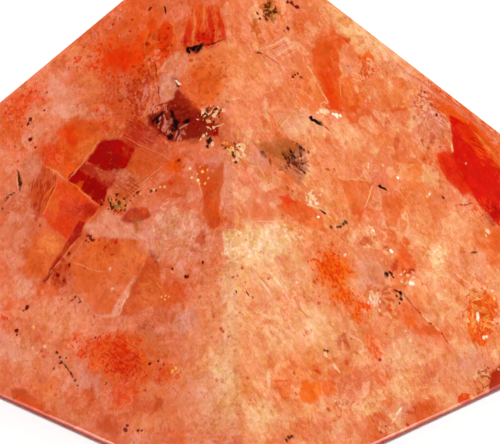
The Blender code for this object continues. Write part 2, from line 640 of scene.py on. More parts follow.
marks["red cleavage blocks"] = [
    panel("orange", 0.6, (57, 128), (68, 122), (100, 137), (69, 180), (44, 164), (53, 148), (60, 140)),
    panel("flame", 0.55, (56, 131), (66, 128), (82, 137), (76, 148), (68, 142), (60, 138)),
    wash("ember", 0.5, 78, 150, 18, 18),
    wash("flame", 0.6, 71, 135, 11, 8, 20),
    haze("apricot", 0.5, 86, 146, 18, 9, -48),
    cloud("flame", 0.5, 72, 158, 16, 14),
    wash("flame", 0.6, 52, 157, 8, 9),
    cloud("scarlet", 0.5, 56, 156, 12, 14),
    panel("brick", 1.0, (101, 140), (118, 139), (134, 148), (127, 166), (117, 178), (96, 168), (87, 161)),
    wash("scarlet", 0.25, 120, 152, 14, 12),
    panel("brick", 0.8, (82, 160), (96, 168), (117, 178), (113, 186), (107, 190), (94, 179), (79, 169)),
    haze("rose", 0.4, 106, 176, 12, 7, 25),
    streaks("rust", 0.5, 100, 172, 16, 8, 30),
    streaks("maroon", 0.35, 110, 158, 22, 18, 30),
    panel("brick", 1.0, (79, 168), (94, 178), (108, 188), (103, 206), (98, 204), (83, 192), (68, 182)),
    grain("brick", 1.0, 80, 182, 14, 9, 38),
    wash("maroon", 0.3, 92, 190, 16, 10, 38),
    line("peach", 0.6, 101, 138, 68, 181, 2),
    panel("rust", 0.75, (44, 164), (57, 179), (55, 184), (42, 217), (33, 206), (26, 198)),
    streaks("brick", 0.6, 42, 190, 22, 11, 116),
    line("amber", 0.9, 58, 180, 41, 202, 2.2),
    line("brick", 0.7, 56, 184, 46, 204, 2.6),
    wash("brick", 0.5, 38, 210, 5, 7),
    panel(
        "flame", 0.75, (58, 181), (69, 183), (100, 207), (92, 216), (83, 222), (68, 240), (56, 232),
        (43, 217),
    ),
    wash("orange", 0.7, 76, 194, 14, 10, 35),
    wash("amber", 0.75, 54, 206, 9, 18, 20),
    wash("flame", 0.6, 64, 226, 10, 12, 20),
    wash("brick", 0.7, 88, 211, 11, 8, -20),
    cloud("brick", 0.35, 76, 208, 18, 18),
    wash("flame", 0.4, 80, 200, 14, 12, 35),
    line("apricot", 0.7, 43, 164, 68, 181, 2),
    line("apricot", 0.7, 68, 181, 100, 206, 2),
    line("apricot", 0.6, 58, 182, 43, 216, 1.8),
    panel("amber", 0.7, (135, 150), (150, 156), (161, 166), (152, 175), (140, 176), (130, 168)),
    streaks("rust", 0.6, 146, 164, 16, 12, 20),
    panel("tan", 0.4, (120, 168), (132, 172), (150, 180), (134, 194), (112, 197), (114, 182)),
    streaks("rust", 0.7, 132, 184, 22, 14, -30),
    streaks("brick", 0.5, 124, 186, 16, 12, 30),
    haze("blush", 0.4, 120, 180, 8, 10),
    wash("rust", 0.5, 116, 203, 16, 10, -10),
    flaws("umber", 0.95, 117, 204, 17, 10, -10),
    facets("gold", 0.25, 114, 204, 16, 9, -10),
    flecks(
        "maroon", 0.9, (101.5, 205, 2.2), (119, 203, 1.6), (104, 200, 1.4), (115, 212, 1.4),
        (109, 210, 1.3),
    ),
    flecks(
        "umber", 0.85, (112, 200, 1.3), (124, 199, 1.4), (127, 205, 1.3), (121, 209, 1.4),
        (130, 201, 1.2),
    ),
    wash("rust", 0.6, 146, 160, 22, 20),
    line("peach", 0.5, 163, 164, 150, 177, 1.8),
    line("peach", 0.45, 150, 177, 129, 198, 1.8),
    flecks("umber", 0.9, (151, 191, 1.8), (137, 192, 1.6), (156, 190, 1.4), (134, 195, 1.3)),
    flecks("cream", 0.8, (153.5, 189.5, 1.5), (164, 187, 1.6), (160, 187, 1.3), (140, 193, 1.3)),
]
marks["dark red wedge"] = [
    panel(
        "brick", 0.9, (79, 221), (87, 222), (80, 236), (52, 271), (45, 283), (43, 282), (57, 255),
        (70, 236),
    ),
    wash("rust", 0.6, 64, 250, 6, 14, 38),
    line("maroon", 0.7, 58, 264, 44, 283, 2.2),
    line("peach", 0.5, 100, 208, 80, 234, 1.8),
    line("peach", 0.55, 80, 236, 48, 276, 1.8),
    line("peach", 0.35, 84, 240, 54, 280, 2),
    panel("rust", 0.8, (63, 258), (70, 263), (66, 284), (58, 290), (49, 284), (54, 270)),
    cloud("brick", 0.6, 60, 274, 12, 18),
    flecks(
        "maroon", 0.95, (69, 254, 2.2), (69, 265, 2.2), (58.5, 274.5, 2.6), (84, 268, 2.2),
        (64, 281, 1.6),
    ),
]
marks["blocks left of the wedge"] = [
    panel("amber", 0.65, (33, 237), (50, 229), (66, 243), (45, 277), (35, 279), (26, 274), (24, 264)),
    wash("ember", 0.6, 36, 264, 8, 9),
    wash("rust", 0.6, 27, 243, 5, 5),
    haze("apricot", 0.6, 50, 246, 12, 10, 30),
    grain("orange", 0.55, 49, 291, 12, 6, 15),
    haze("blush", 0.75, 24, 286, 12, 12),
    haze("blush", 0.5, 12, 262, 10, 16),
    wash("orange", 0.6, 4, 306, 7, 12),
]
marks["pale-edged panel"] = [
    panel(
        "amber", 0.6, (92, 238), (120, 240), (148, 239), (149, 253), (118, 314), (100, 312), (76, 296),
        (72, 262),
    ),
    haze("apricot", 0.45, 130, 254, 18, 12),
    panel("amber", 0.6, (94, 239), (113, 240), (117, 254), (107, 267), (97, 268), (84, 259), (88, 250)),
    cloud("brick", 0.5, 110, 246, 12, 8),
    wash("rust", 0.35, 120, 246, 26, 12),
    wash("ember", 0.4, 100, 288, 18, 18),
    panel("blush", 0.6, (86, 226), (97, 219), (106, 209), (112, 216), (103, 230), (98, 238), (90, 236)),
    panel("blush", 0.55, (107, 210), (131, 222), (145, 239), (118, 239), (100, 236)),
    line("peach", 0.4, 106, 212, 96, 242, 1.8),
    line("blush", 0.6, 120, 223, 146, 240, 2),
    flaws("maroon", 0.9, 90, 238, 6, 7, 30),
    flecks("maroon", 0.8, (88, 236, 1.8), (91, 240, 1.5), (86, 241, 1.4)),
    flecks("scarlet", 0.9, (105, 246.5, 2.2), (116.5, 242, 2.4), (99, 240, 1.5), (112, 254, 1.3)),
    line("peach", 0.6, 71, 261, 94, 271, 1.8),
    line("peach", 0.4, 94, 270, 104, 272, 1.6),
    flecks("blush", 0.8, (110, 269.5, 2.4), (112.5, 290, 2.6)),
    flecks("cream", 0.8, (109.5, 269, 1.4), (113, 289, 1.4)),
    panel("blush", 0.7, (126, 288), (134, 276), (138, 276), (118, 317), (110, 316), (116, 303)),
    line("blush", 0.3, 90, 311, 100, 316, 3),
    line("blush", 0.5, 99, 316, 118, 315, 4),
    line("cream", 0.6, 149, 253, 117, 317, 2),
    panel(
        "ember", 0.7, (150, 250), (157, 256), (160, 270), (163, 285), (152, 302), (132, 316), (119, 316),
        (138, 272),
    ),
    wash("rust", 0.6, 140, 280, 7, 22, 25),
    haze("apricot", 0.5, 152, 290, 14, 20, 20),
    flaws("rust", 0.5, 150, 282, 16, 28, 20),
    wash("maroon", 0.5, 155, 256, 4, 7, -10),
    flecks("brick", 0.8, (153, 256, 2.4), (156, 262, 1.8)),
    line("brick", 0.5, 150, 232, 151, 250, 2.2),
    panel(
        "brick", 0.75, (126, 212), (136, 207), (146, 209), (150, 216), (140, 222), (128, 224), (121, 220),
    ),
    wash("rust", 0.5, 136, 218, 8, 6, -20),
    wash("olive", 0.6, 138, 226, 9, 5),
    flecks("orange", 0.8, (144, 212, 3), (139, 208, 2.2)),
    wash("orange", 0.5, 176, 294, 18, 14, -20),
    flecks("gold", 0.8, (161, 297, 1.2), (165, 299, 1.4), (169, 296, 1.2), (166, 295, 1.1)),
]
marks["lilac ground, middle of the front side"] = [
    haze("blush", 0.7, 176, 236, 40, 28),
    haze("lilac", 0.45, 165, 225, 16, 20),
    facets("blush", 0.5, 180, 250, 34, 26),
    flaws("rose", 0.6, 184, 238, 36, 30),
    facets("cream", 0.3, 176, 225, 26, 24),
    wash("rust", 0.75, 205, 237, 7, 5, -25),
    wash("rust", 0.5, 198, 246, 8, 7, -30),
    flecks("rust", 0.85, (204.5, 237, 3), (171.5, 268, 2.2), (174, 283, 1.8), (200, 297.5, 2.2)),
    flecks("maroon", 1.0, (186.5, 277, 2.6), (203, 262, 1.6), (172, 268.5, 1.4)),
    wash("orange", 0.55, 217, 264, 7, 6),
    line("umber", 0.95, 235, 289, 238, 296, 2.2),
    line("umber", 0.95, 246, 290, 249, 297, 2),
    flecks("rust", 0.9, (242.5, 268, 1.8), (237, 276, 2), (233, 277.5, 1.6), (245, 282, 1.3)),
    haze("lilac", 0.5, 186, 322, 16, 12),
]
marks["cream crystal by the ridge"] = [
    panel(
        "cream", 0.7, (223, 231), (240, 228), (262, 232), (262, 262), (244, 266), (232, 260), (225, 248),
    ),
    line("ivory", 0.55, 223, 230, 224, 246, 2.2),
    line("ivory", 0.5, 224, 245, 231, 259, 2.2),
    line("ivory", 0.4, 231, 259, 244, 266, 2),
    line("ivory", 0.4, 224, 230, 240, 227, 1.8),
    facets("ivory", 0.55, 240, 244, 20, 18),
    flecks("rust", 0.6, (233, 247, 1.4), (246, 241, 1.3), (255, 250, 1.3), (238, 236, 1.2)),
]
marks["wedge with glints"] = [
    panel(
        "ember", 0.85, (195, 164), (224, 163), (224, 178), (220, 204), (219, 227), (210, 227), (202, 212),
        (203, 198), (198, 184),
    ),
    wash("flame", 0.5, 208, 196, 5, 18, -6),
    haze("lilac", 0.55, 212, 163, 14, 7),
    streaks("rust", 0.5, 212, 198, 30, 10, 86),
    line("peach", 0.7, 194, 172, 203, 198, 1.8),
    line("peach", 0.6, 223, 178, 219, 226, 1.6),
    wash("orange", 0.8, 174, 163, 11, 7, -15),
    wash("orange", 0.6, 170, 170, 8, 7),
    flecks("flame", 0.85, (176, 162, 2.4), (170, 183.5, 3.4), (184, 167, 2)),
    flecks("umber", 0.9, (179, 160.5, 1.9)),
    cloud("flame", 0.4, 202, 178, 12, 14),
    # Painted glints: gold and white sparkles of light off the platelets
    flecks(
        "gold", 1.0, (190.5, 168, 2), (197.5, 181, 2.2), (202.5, 172, 1.8), (191, 178, 1.8),
        (205, 183.5, 1.5),
    ),
    flecks(
        "gold", 0.9, (200, 167, 1.2), (208.5, 177.5, 1.4), (199, 185, 1.3), (196, 174, 1.2),
        (207, 170, 1.1),
    ),
    flecks("paintedGlint", 0.9, (190.5, 168, 0.8), (197.5, 181, 1), (191, 178, 0.8)),
    wash("ember", 0.6, 200, 215, 8, 7, 40),
    wash("orange", 0.6, 215, 212, 7, 18, -5),
]
marks["speckled red cloud, front side"] = [
    wash("tan", 0.45, 152, 340, 24, 16, 30),
    wash("amber", 0.6, 122, 360, 48, 34, 20),
    wash("orange", 0.7, 116, 356, 42, 28, 25),
    wash("orange", 0.6, 104, 348, 24, 16, 10),
    wash("tangerine", 0.4, 118, 358, 30, 22, 25),
    wash("flame", 0.65, 120, 361, 25, 17, 25),
    cloud("flame", 0.85, 110, 352, 42, 25, 15),
    cloud("flame", 0.75, 100, 346, 24, 18),
    streaks("scarlet", 0.55, 120, 358, 32, 20, 33),
    wash("flame", 0.7, 126, 363, 15, 11, 25),
    cloud("scarlet", 0.5, 126, 364, 18, 13, 20),
    cloud("brick", 0.3, 126, 368, 26, 20, 20),
    facets("apricot", 0.2, 118, 360, 30, 22),
    wash("orange", 0.6, 124, 394, 18, 14),
    cloud("flame", 0.7, 124, 392, 20, 16),
    wash("ember", 0.6, 164, 318, 8, 7, 15),
    cloud("brick", 0.5, 148, 326, 14, 8),
    flecks("maroon", 1.0, (158.7, 361, 1.9), (150, 363.7, 1.8), (163.8, 365.3, 1.6), (159.7, 370.5, 1.6)),
    flecks("brick", 0.9, (163.5, 373.5, 2.8), (145, 390, 1.6), (95, 337, 1.8), (160, 380, 2)),
    cloud("flame", 0.7, 163, 374, 10, 10),
    wash("orange", 0.6, 170, 374, 10, 8),
    # Painted glints in gold
    flecks("gold", 0.95, (172, 372, 2), (175.5, 369, 2), (176, 374.5, 1.4)),
    flecks("orange", 0.95, (178, 376.5, 3)),
    line("orange", 0.8, 174, 373, 181, 379, 2.6),
    wash("rust", 0.7, 156, 402, 6, 9, -25),
    line("umber", 0.4, 173, 385, 178, 394, 1.8),
    line("rust", 0.5, 178, 393, 174, 402, 2.2),
    flecks("flame", 0.7, (119, 305, 1.5), (98, 346, 2.4), (92, 350, 1.8), (86, 357, 1.6)),
    haze("rose", 0.4, 186, 396, 20, 18),
]
marks["pale ground, lower left"] = [
    haze("peach", 0.35, 52, 316, 34, 22, 20),
    haze("blush", 0.6, 16, 350, 24, 16, 20),
    flecks("maroon", 1.0, (27, 308, 3), (24, 311, 1.8), (16.7, 330.5, 2.4), (17, 334, 1.4)),
    line("umber", 0.6, 73, 300, 79, 296, 1.4),
    line("umber", 0.6, 78, 297, 81, 304, 1.4),
    flecks("maroon", 0.9, (80, 303, 1.8), (73, 300, 1.5), (76, 297, 1.3)),
    flecks("rust", 0.85, (88, 311, 1.5), (95, 316, 1.6), (62, 300, 1.4), (70, 320, 1.4), (52, 332, 1.3)),
    # Painted glints in gold
    flecks("gold", 0.9, (33, 327.5, 1.8), (33, 348.5, 1.6)),
    flecks("cream", 0.8, (45.5, 346.5, 2.4), (69, 346, 1.8), (37, 354, 1.3)),
    flecks("rust", 0.9, (41.5, 351.5, 2), (44, 356.5, 1.6), (36, 369, 1.3)),
    line("orange", 0.7, 40, 357, 46, 356, 2),
    wash("orange", 0.6, 70, 341, 8, 8),
    flecks("flame", 0.8, (75, 338.5, 2.4), (3, 319, 3.4)),
    flecks("brick", 0.9, (7, 318, 1.4)),
    flecks("umber", 0.95, (57.5, 352, 2), (61.5, 361.5, 2.2), (66, 357, 1.3), (60, 357, 1.4)),
    line("soot", 0.95, 64, 363, 72, 378, 2.6),
    flecks("umber", 0.9, (75, 380, 1.6), (77, 386, 1.4), (91, 390, 2), (106, 383.5, 1.6), (54, 369, 1.3)),
    haze("lilac", 0.55, 90, 382, 26, 8, 42),
    wash("ember", 0.65, 88, 394, 14, 8, 48),
    wash("apricot", 0.6, 48, 393, 20, 14, 40),
    flecks("flame", 0.7, (51, 387, 2.2), (55, 395, 1.8), (31, 386, 1.5)),
    panel("rust", 0.85, (11, 388), (24, 388), (36, 400), (30, 408), (13, 398)),
    panel("orange", 0.9, (18, 398), (30, 398), (50, 411), (48, 421), (14, 406)),
    wash("brick", 0.3, 17, 394, 6, 5),
    flecks("brick", 0.8, (45, 413, 1.8)),
    wash("rust", 0.6, 106, 424, 20, 16, 40),
    wash("rust", 0.4, 112, 430, 14, 10, 40),
    flecks("maroon", 1.0, (125.5, 430.5, 2.8), (127.5, 425.5, 1.9), (138.5, 429.5, 2.2), (142, 431, 1.6)),
    haze("blush", 0.5, 70, 412, 30, 10, 30),
    wash("orange", 0.5, 178, 436, 16, 9),
    haze("blush", 0.5, 210, 420, 16, 20),
]
marks["pale ground beside the ridge"] = [
    flecks("rust", 0.95, (222, 328, 2.2), (224, 330.5, 1.8)),
    flecks("rust", 0.7, (229.5, 336, 1.6), (213, 317, 1.5), (216.5, 381, 2), (230, 374, 1.4)),
    flecks(
        "rust", 0.7, (240, 313, 1.6), (243, 314, 1.3), (247, 378, 1.8), (217, 365, 1.4), (250, 400, 1.5),
    ),
    line("rust", 0.4, 212, 302, 214, 322, 4),
    haze("cream", 0.45, 222, 372, 14, 12),
    haze("blush", 0.35, 205, 392, 18, 18),
]
marks["olive marks by the tip"] = [
    wash("olive", 0.9, 270, 11, 9, 9, -20),
    wash("olive", 0.85, 257, 24, 4, 9, 12),
    wash("orange", 0.5, 257, 27, 5, 6),
    facets("gold", 0.35, 269, 12, 9, 9),
    flaws("umber", 0.9, 269, 11, 9, 9),
    flecks(
        "umber", 0.95, (275, 12.5, 2), (257.5, 12.5, 1.6), (266, 19, 1.8), (260, 18, 1.6), (270, 6, 1.4),
    ),
    flecks(
        "maroon", 0.95, (287.5, 2.5, 1.9), (292, 3.5, 1.8), (297, 7, 2), (287.5, 27.5, 2.6),
        (284, 31, 1.4),
    ),
    line("maroon", 0.85, 286, 1.5, 298, 8, 1.8),
    panel("amber", 0.65, (292, 12), (305, 13), (310, 18), (303, 24), (303, 34), (296, 35), (293, 26)),
    cloud("rust", 0.5, 296, 22, 9, 12),
    haze("rose", 0.5, 273, 30, 14, 9, 10),
]
marks["scratched ground by the tip"] = [
    streaks("blush", 0.7, 282, 48, 20, 12, -30),
    line("cream", 0.6, 266, 49, 289, 36.5, 2),
    line("rust", 0.5, 268, 52, 292, 39, 1.6),
    line("cream", 0.5, 274, 57, 298, 44, 1.8),
    line("rust", 0.4, 279, 58, 301, 47, 1.6),
    line("blush", 0.7, 266, 53, 279, 64, 2.4),
    line("blush", 0.7, 279, 64, 290, 77, 2.2),
    line("umber", 0.9, 254.5, 51, 263, 53.5, 2),
    line("rust", 0.7, 263, 53, 281, 66, 1.6),
    wash("amber", 0.55, 293, 74, 13, 12),
    flecks("maroon", 0.95, (292, 77, 2.2), (297.5, 73.5, 1.7), (300.5, 77, 1.6), (294.5, 75, 1.4)),
    wash("amber", 0.4, 284, 88, 12, 10),
]
marks["orange band crystal"] = [
    wash("orange", 0.6, 330, 40, 24, 9, -8),
    wash("apricot", 0.5, 311, 88, 14, 24),
    panel(
        "orange", 0.85, (312, 49), (323, 43), (343, 38), (350, 40), (339, 49), (340, 70), (342, 111),
        (331, 107), (327, 98), (320, 84), (313, 68),
    ),
    wash("flame", 0.75, 328, 86, 9, 28, -16),
    wash("rust", 0.5, 326, 52, 14, 6),
    wash("rust", 0.6, 345, 40, 6, 4),
    panel("orange", 0.6, (340, 78), (350, 76), (355, 84), (360, 100), (356, 113), (345, 113), (341, 92)),
    haze("apricot", 0.5, 350, 92, 8, 14),
    line("cream", 0.65, 308, 66, 313, 74, 2),
    line("cream", 0.45, 312, 72, 321, 92, 1.7),
    line("cream", 0.55, 321, 91, 328, 101, 2),
    line("cream", 0.6, 328, 101, 322, 103, 1.8),
    line("apricot", 0.7, 340, 50, 343, 72, 1.8),
    line("peach", 0.6, 354, 80, 361, 104, 1.8),
    line("gold", 0.4, 339, 77, 341, 100, 1.4),
    wash("salmon", 0.6, 349, 60, 8, 15),
    flecks("lilac", 0.7, (347.5, 66, 3.4), (349, 73, 2.2)),
    flecks("umber", 0.4, (347, 65, 1.6)),
    # Painted glint: white sparkle of light off a platelet
    flecks("paintedGlint", 1.0, (336, 114, 2.4), (340, 115.5, 1.6), (332.5, 113, 1.4), (337, 117, 1.2)),
    flecks("ivory", 0.9, (322, 111.5, 2.6), (327, 110.5, 2.4), (318, 113, 2), (326, 114, 1.6)),
    # Painted glints in cream
    flecks("cream", 0.8, (320, 24, 1.8), (370, 98, 2), (365, 101, 1.3)),
]
marks["orange blob near the ridge"] = [
    wash("orange", 0.8, 367, 66, 11, 14, -15),
    cloud("orange", 0.8, 368, 68, 14, 16),
    wash("tangerine", 0.7, 369, 60, 7, 7),
    cloud("rust", 0.6, 366, 70, 11, 12),
    flecks("rust", 0.8, (361.5, 68.5, 1.5), (367, 74, 1.8), (373, 70, 1.6)),
    cloud("rust", 0.4, 386, 66, 14, 10, 30),
    wash("orange", 0.7, 401, 107.5, 7, 4, -10),
    line("orange", 0.6, 390, 111, 412, 108, 1.8),
    cloud("rust", 0.3, 392, 102, 22, 16),
]
marks["slit in the pale grain"] = [
    haze("blush", 0.65, 300, 122, 24, 16),
    haze("cream", 0.5, 304, 126, 16, 12),
    wash("orange", 0.5, 267, 124, 9, 8),
    haze("cream", 0.4, 346, 135, 24, 14, 10),
    line("soot", 1.0, 309, 117, 324, 126.5, 4),
    flecks("soot", 1.0, (311.5, 118, 2.2), (315, 120.5, 2)),
    line("rust", 0.8, 322, 125, 331, 131, 1.8),
    line("cream", 0.5, 278, 131, 293, 112, 2),
    line("cream", 0.5, 293, 112, 306, 109, 2),
    line("cream", 0.5, 346, 122, 362, 140, 1.6),
    line("apricot", 0.5, 330, 128, 344, 123, 1.6),
    wash("orange", 0.4, 341, 144, 9, 6),
    wash("apricot", 0.5, 381, 140, 14, 14),
]
marks["olive smudge"] = [
    panel(
        "tan", 0.8, (250, 139), (262, 143), (276, 139), (290, 142), (303, 148), (308, 162), (305, 174),
        (300, 184), (290, 178), (284, 170), (272, 162), (262, 155),
    ),
    wash("olive", 0.65, 280, 150, 20, 10, 10),
    wash("umber", 0.75, 294, 157, 10, 12, 20),
    wash("maroon", 0.5, 294, 163, 6, 7),
    flaws("umber", 0.9, 294, 156, 16, 16),
    facets("blush", 0.5, 299, 152, 10, 14),
    facets("tan", 0.6, 282, 143, 22, 7, 5),
    haze("lilac", 0.5, 300, 170, 12, 9),
    streaks("umber", 0.5, 301, 169, 12, 9, 31),
    flecks(
        "soot", 0.85, (300, 148, 2.4), (293, 157, 2.6), (297, 144, 1.6), (290, 151, 1.8), (303, 150, 1.5),
    ),
    flecks("maroon", 0.9, (295, 164, 3.4), (289, 166, 1.8), (304, 173, 1.6)),
    flecks("soot", 0.9, (262.5, 153, 2.8), (265, 156, 1.8), (270, 161.5, 1.8)),
    line("soot", 0.9, 260, 151, 267, 158, 2.4),
    line("umber", 0.9, 270, 158, 271, 166, 2),
    line("umber", 0.85, 298, 168, 306, 173.5, 1.8),
    wash("amber", 0.4, 272, 163, 8, 8),
    wash("orange", 0.6, 289, 183, 8, 9),
    flecks("rust", 0.85, (275, 173, 1.6), (280, 170, 1.6), (287, 188, 2.6), (292, 191, 1.6)),
    haze("lilac", 0.55, 258, 158, 9, 12),
    flecks("rust", 0.9, (327.5, 169.7, 1.9), (334, 169, 1.8), (333, 172.5, 1.3)),
]
marks["orange grains, middle of the right side"] = [
    panel(
        "orange", 0.75, (278, 206), (284, 200), (297, 200), (312, 207), (322, 218), (326, 232),
        (312, 229), (296, 220), (284, 212),
    ),
    wash("flame", 0.85, 287, 204, 10, 5, 10),
    cloud("rust", 0.5, 307, 217, 9, 7),
    haze("apricot", 0.6, 318, 225, 8, 8, 30),
    line("cream", 0.6, 308, 203, 322, 209, 2.6),
    line("cream", 0.6, 322, 209, 337, 226, 2),
    facets("ivory", 0.7, 313, 198, 10, 8),
    flecks("ivory", 0.85, (312, 196, 3), (310, 201, 2.4), (316, 203, 1.6), (306, 199, 1.5)),
    line("soot", 0.95, 319, 209, 327, 215, 2.2),
    # Painted glint
    flecks("paintedGlint", 1.0, (318.2, 217, 1.6)),
    flecks("soot", 0.85, (346, 222.5, 2.6), (344, 224, 2)),
    line("umber", 0.9, 336, 227.5, 342.5, 226, 3.2),
    flecks("umber", 0.85, (331, 227.5, 2)),
    flecks("rust", 0.85, (262.5, 226, 1.8), (265, 224, 1.3)),
    line("rust", 0.7, 340, 236, 345, 242, 2.2),
    panel(
        "amber", 0.7, (337, 178), (354, 180), (374, 182), (373, 194), (366, 208), (360, 217), (352, 214),
        (346, 197),
    ),
    line("gold", 0.5, 337, 178, 373, 182, 1.6),
    line("cream", 0.6, 374, 184, 364, 208, 1.8),
    wash("apricot", 0.5, 340, 205, 10, 14),
    panel(
        "amber", 0.75, (381, 195), (392, 194), (401, 200), (401, 214), (396, 227), (388, 226), (382, 212),
    ),
    panel("apricot", 0.6, (401, 190), (410, 191), (410, 206), (404, 222), (401, 212)),
    wash("orange", 0.5, 364, 212, 8, 12),
    line("soot", 0.95, 377, 185, 388, 190, 2.6),
    flecks("soot", 0.9, (379.5, 186, 1.8)),
    haze("apricot", 0.6, 412, 174, 12, 14),
    flecks("cream", 0.7, (403, 217, 3), (405, 213, 1.8)),
    grain("rust", 0.6, 396.5, 143.5, 3, 7),
    wash("orange", 0.7, 424, 159, 5, 4),
    flecks("flame", 0.8, (424, 159, 2)),
    haze("cream", 0.6, 431, 176, 8, 16, -10),
    # Painted glints: white and cream sparkles of light
    flecks("paintedGlint", 1.0, (398.3, 178, 1.6), (429.5, 193, 1.6)),
    flecks("cream", 0.9, (382.5, 164.5, 1.8), (427, 196, 1.5), (368.5, 164, 1.6), (368.3, 167, 1.4)),
]
marks["pink grit by the red sliver"] = [
    wash("rose", 0.7, 430, 112, 20, 34, 10),
    haze("cream", 0.55, 412, 122, 7, 12, 10),
    facets("blush", 0.6, 430, 114, 20, 34),
    facets("ivory", 0.25, 428, 112, 14, 26),
    flaws("brick", 0.6, 432, 114, 20, 38),
    haze("blush", 0.5, 430, 124, 18, 26),
    flecks("maroon", 0.95, (437.5, 115, 2), (431, 104, 1.6), (443.5, 197.5, 2), (424, 92, 1.4)),
    grain("rust", 0.6, 432, 138, 3, 7),
    flecks("rust", 0.8, (422, 140, 1.8), (440, 146, 1.8), (428, 148, 1.5), (418, 100, 1.4)),
]
marks["red sliver"] = [
    wash("orange", 0.8, 455, 112, 46, 11, 39),
    streaks("ember", 0.8, 462, 116, 50, 14, 39),
    line("rose", 0.7, 398, 66, 500, 142, 7),
    line("blush", 0.5, 390, 62, 440, 98, 5),
    line("rust", 0.4, 384, 54, 500, 141, 2),
    panel(
        "orange", 0.85, (441, 104), (449, 105), (470, 122), (500, 150), (500, 172), (483, 152),
        (466, 128), (452, 128),
    ),
    panel(
        "scarlet", 0.98, (450, 116), (457, 117), (470, 126), (484, 148), (492, 158), (501, 170),
        (501, 228), (485, 212), (473, 196), (457, 170), (452, 156), (452, 140),
    ),
    panel(
        "flame", 0.95, (437, 154), (444, 151), (453, 156), (461, 172), (474, 197), (462, 194), (446, 180),
        (440, 168),
    ),
    wash("scarlet", 0.8, 456, 172, 10, 24, -25),
    wash("flame", 0.7, 466, 128, 10, 8, 35),
    line("flame", 0.7, 462, 130, 482, 160, 4),
    wash("brick", 0.75, 492, 214, 12, 12, 40),
    cloud("flame", 0.7, 482, 207, 14, 16, 40),
    wash("orange", 0.6, 494, 232, 12, 12),
    line("cream", 0.75, 451, 142, 453, 154, 2.6),
    streaks("orange", 0.6, 486, 148, 26, 12, 42),
    line("apricot", 0.6, 470, 128, 500, 162, 2),
    line("rust", 0.6, 478, 134, 500, 156, 2),
    haze("rose", 0.6, 464, 202, 10, 8),
    line("garnet", 0.8, 456.5, 206, 474, 203, 2),
    # Painted glint in blush
    flecks("blush", 0.9, (466, 163.5, 1.3)),
    cloud("rust", 0.4, 478, 222, 14, 10),
]
marks["cream ground by the ridge, right side"] = [
    haze("cream", 0.6, 268, 236, 22, 14),
    facets("ivory", 0.75, 286, 238, 18, 14),
    facets("ivory", 0.45, 262, 244, 20, 18),
    flaws("peach", 0.6, 278, 250, 28, 22),
    line("ivory", 0.3, 250, 221, 288, 221, 1.8),
    haze("ivory", 0.4, 270, 244, 22, 20),
    wash("rose", 0.6, 282, 262, 10, 8, 10),
    wash("rose", 0.5, 292, 276, 9, 8),
    line("ivory", 0.6, 252, 271, 271, 295, 2.6),
    line("ivory", 0.5, 266, 269, 282, 288, 2.2),
    line("rust", 0.5, 260, 277, 273, 292, 2.4),
    line("rust", 0.4, 250, 268, 262, 284, 1.8),
    line("ivory", 0.4, 276, 280, 292, 304, 2),
    # Painted glint in ivory
    flecks("ivory", 0.95, (297.6, 281.6, 1.9)),
    flecks("brick", 0.7, (252, 297, 1.8), (268, 278, 1.5)),
    wash("rose", 0.4, 268, 305, 14, 9, 30),
    wash("amber", 0.5, 270, 323, 6, 9, 10),
    wash("rose", 0.4, 262, 342, 12, 8),
    flecks("amber", 0.7, (307, 332, 3), (311, 330, 2), (304, 335, 1.8)),
    haze("cream", 0.4, 318, 322, 12, 20),
]
marks["speckled orange cloud, right side"] = [
    wash("apricot", 0.8, 335, 274, 30, 36, -15),
    wash("tangerine", 0.9, 333, 268, 22, 22, -10),
    cloud("orange", 0.9, 333, 267, 25, 26, -10),
    cloud("flame", 0.8, 331, 266, 18, 20, -10),
    wash("flame", 0.3, 331, 266, 12, 8),
    wash("tangerine", 0.85, 345, 296, 16, 13),
    cloud("orange", 0.8, 345, 295, 18, 16),
    cloud("flame", 0.5, 345, 295, 14, 12),
    wash("tangerine", 0.8, 359, 311, 14, 10, -45),
    cloud("flame", 0.8, 361, 309, 13, 9, -55),
    flecks(
        "flame", 0.8, (314, 282, 2.4), (316, 279, 1.8), (331.7, 244, 2), (318, 261, 1.8), (308, 262, 1.3),
    ),
    flecks("rust", 0.85, (318, 303.5, 2), (318.5, 297, 1.6), (304, 296, 1.2), (339, 255, 1.4)),
    # Painted glint in ivory
    flecks("ivory", 0.9, (345.5, 254.5, 1.8)),
]
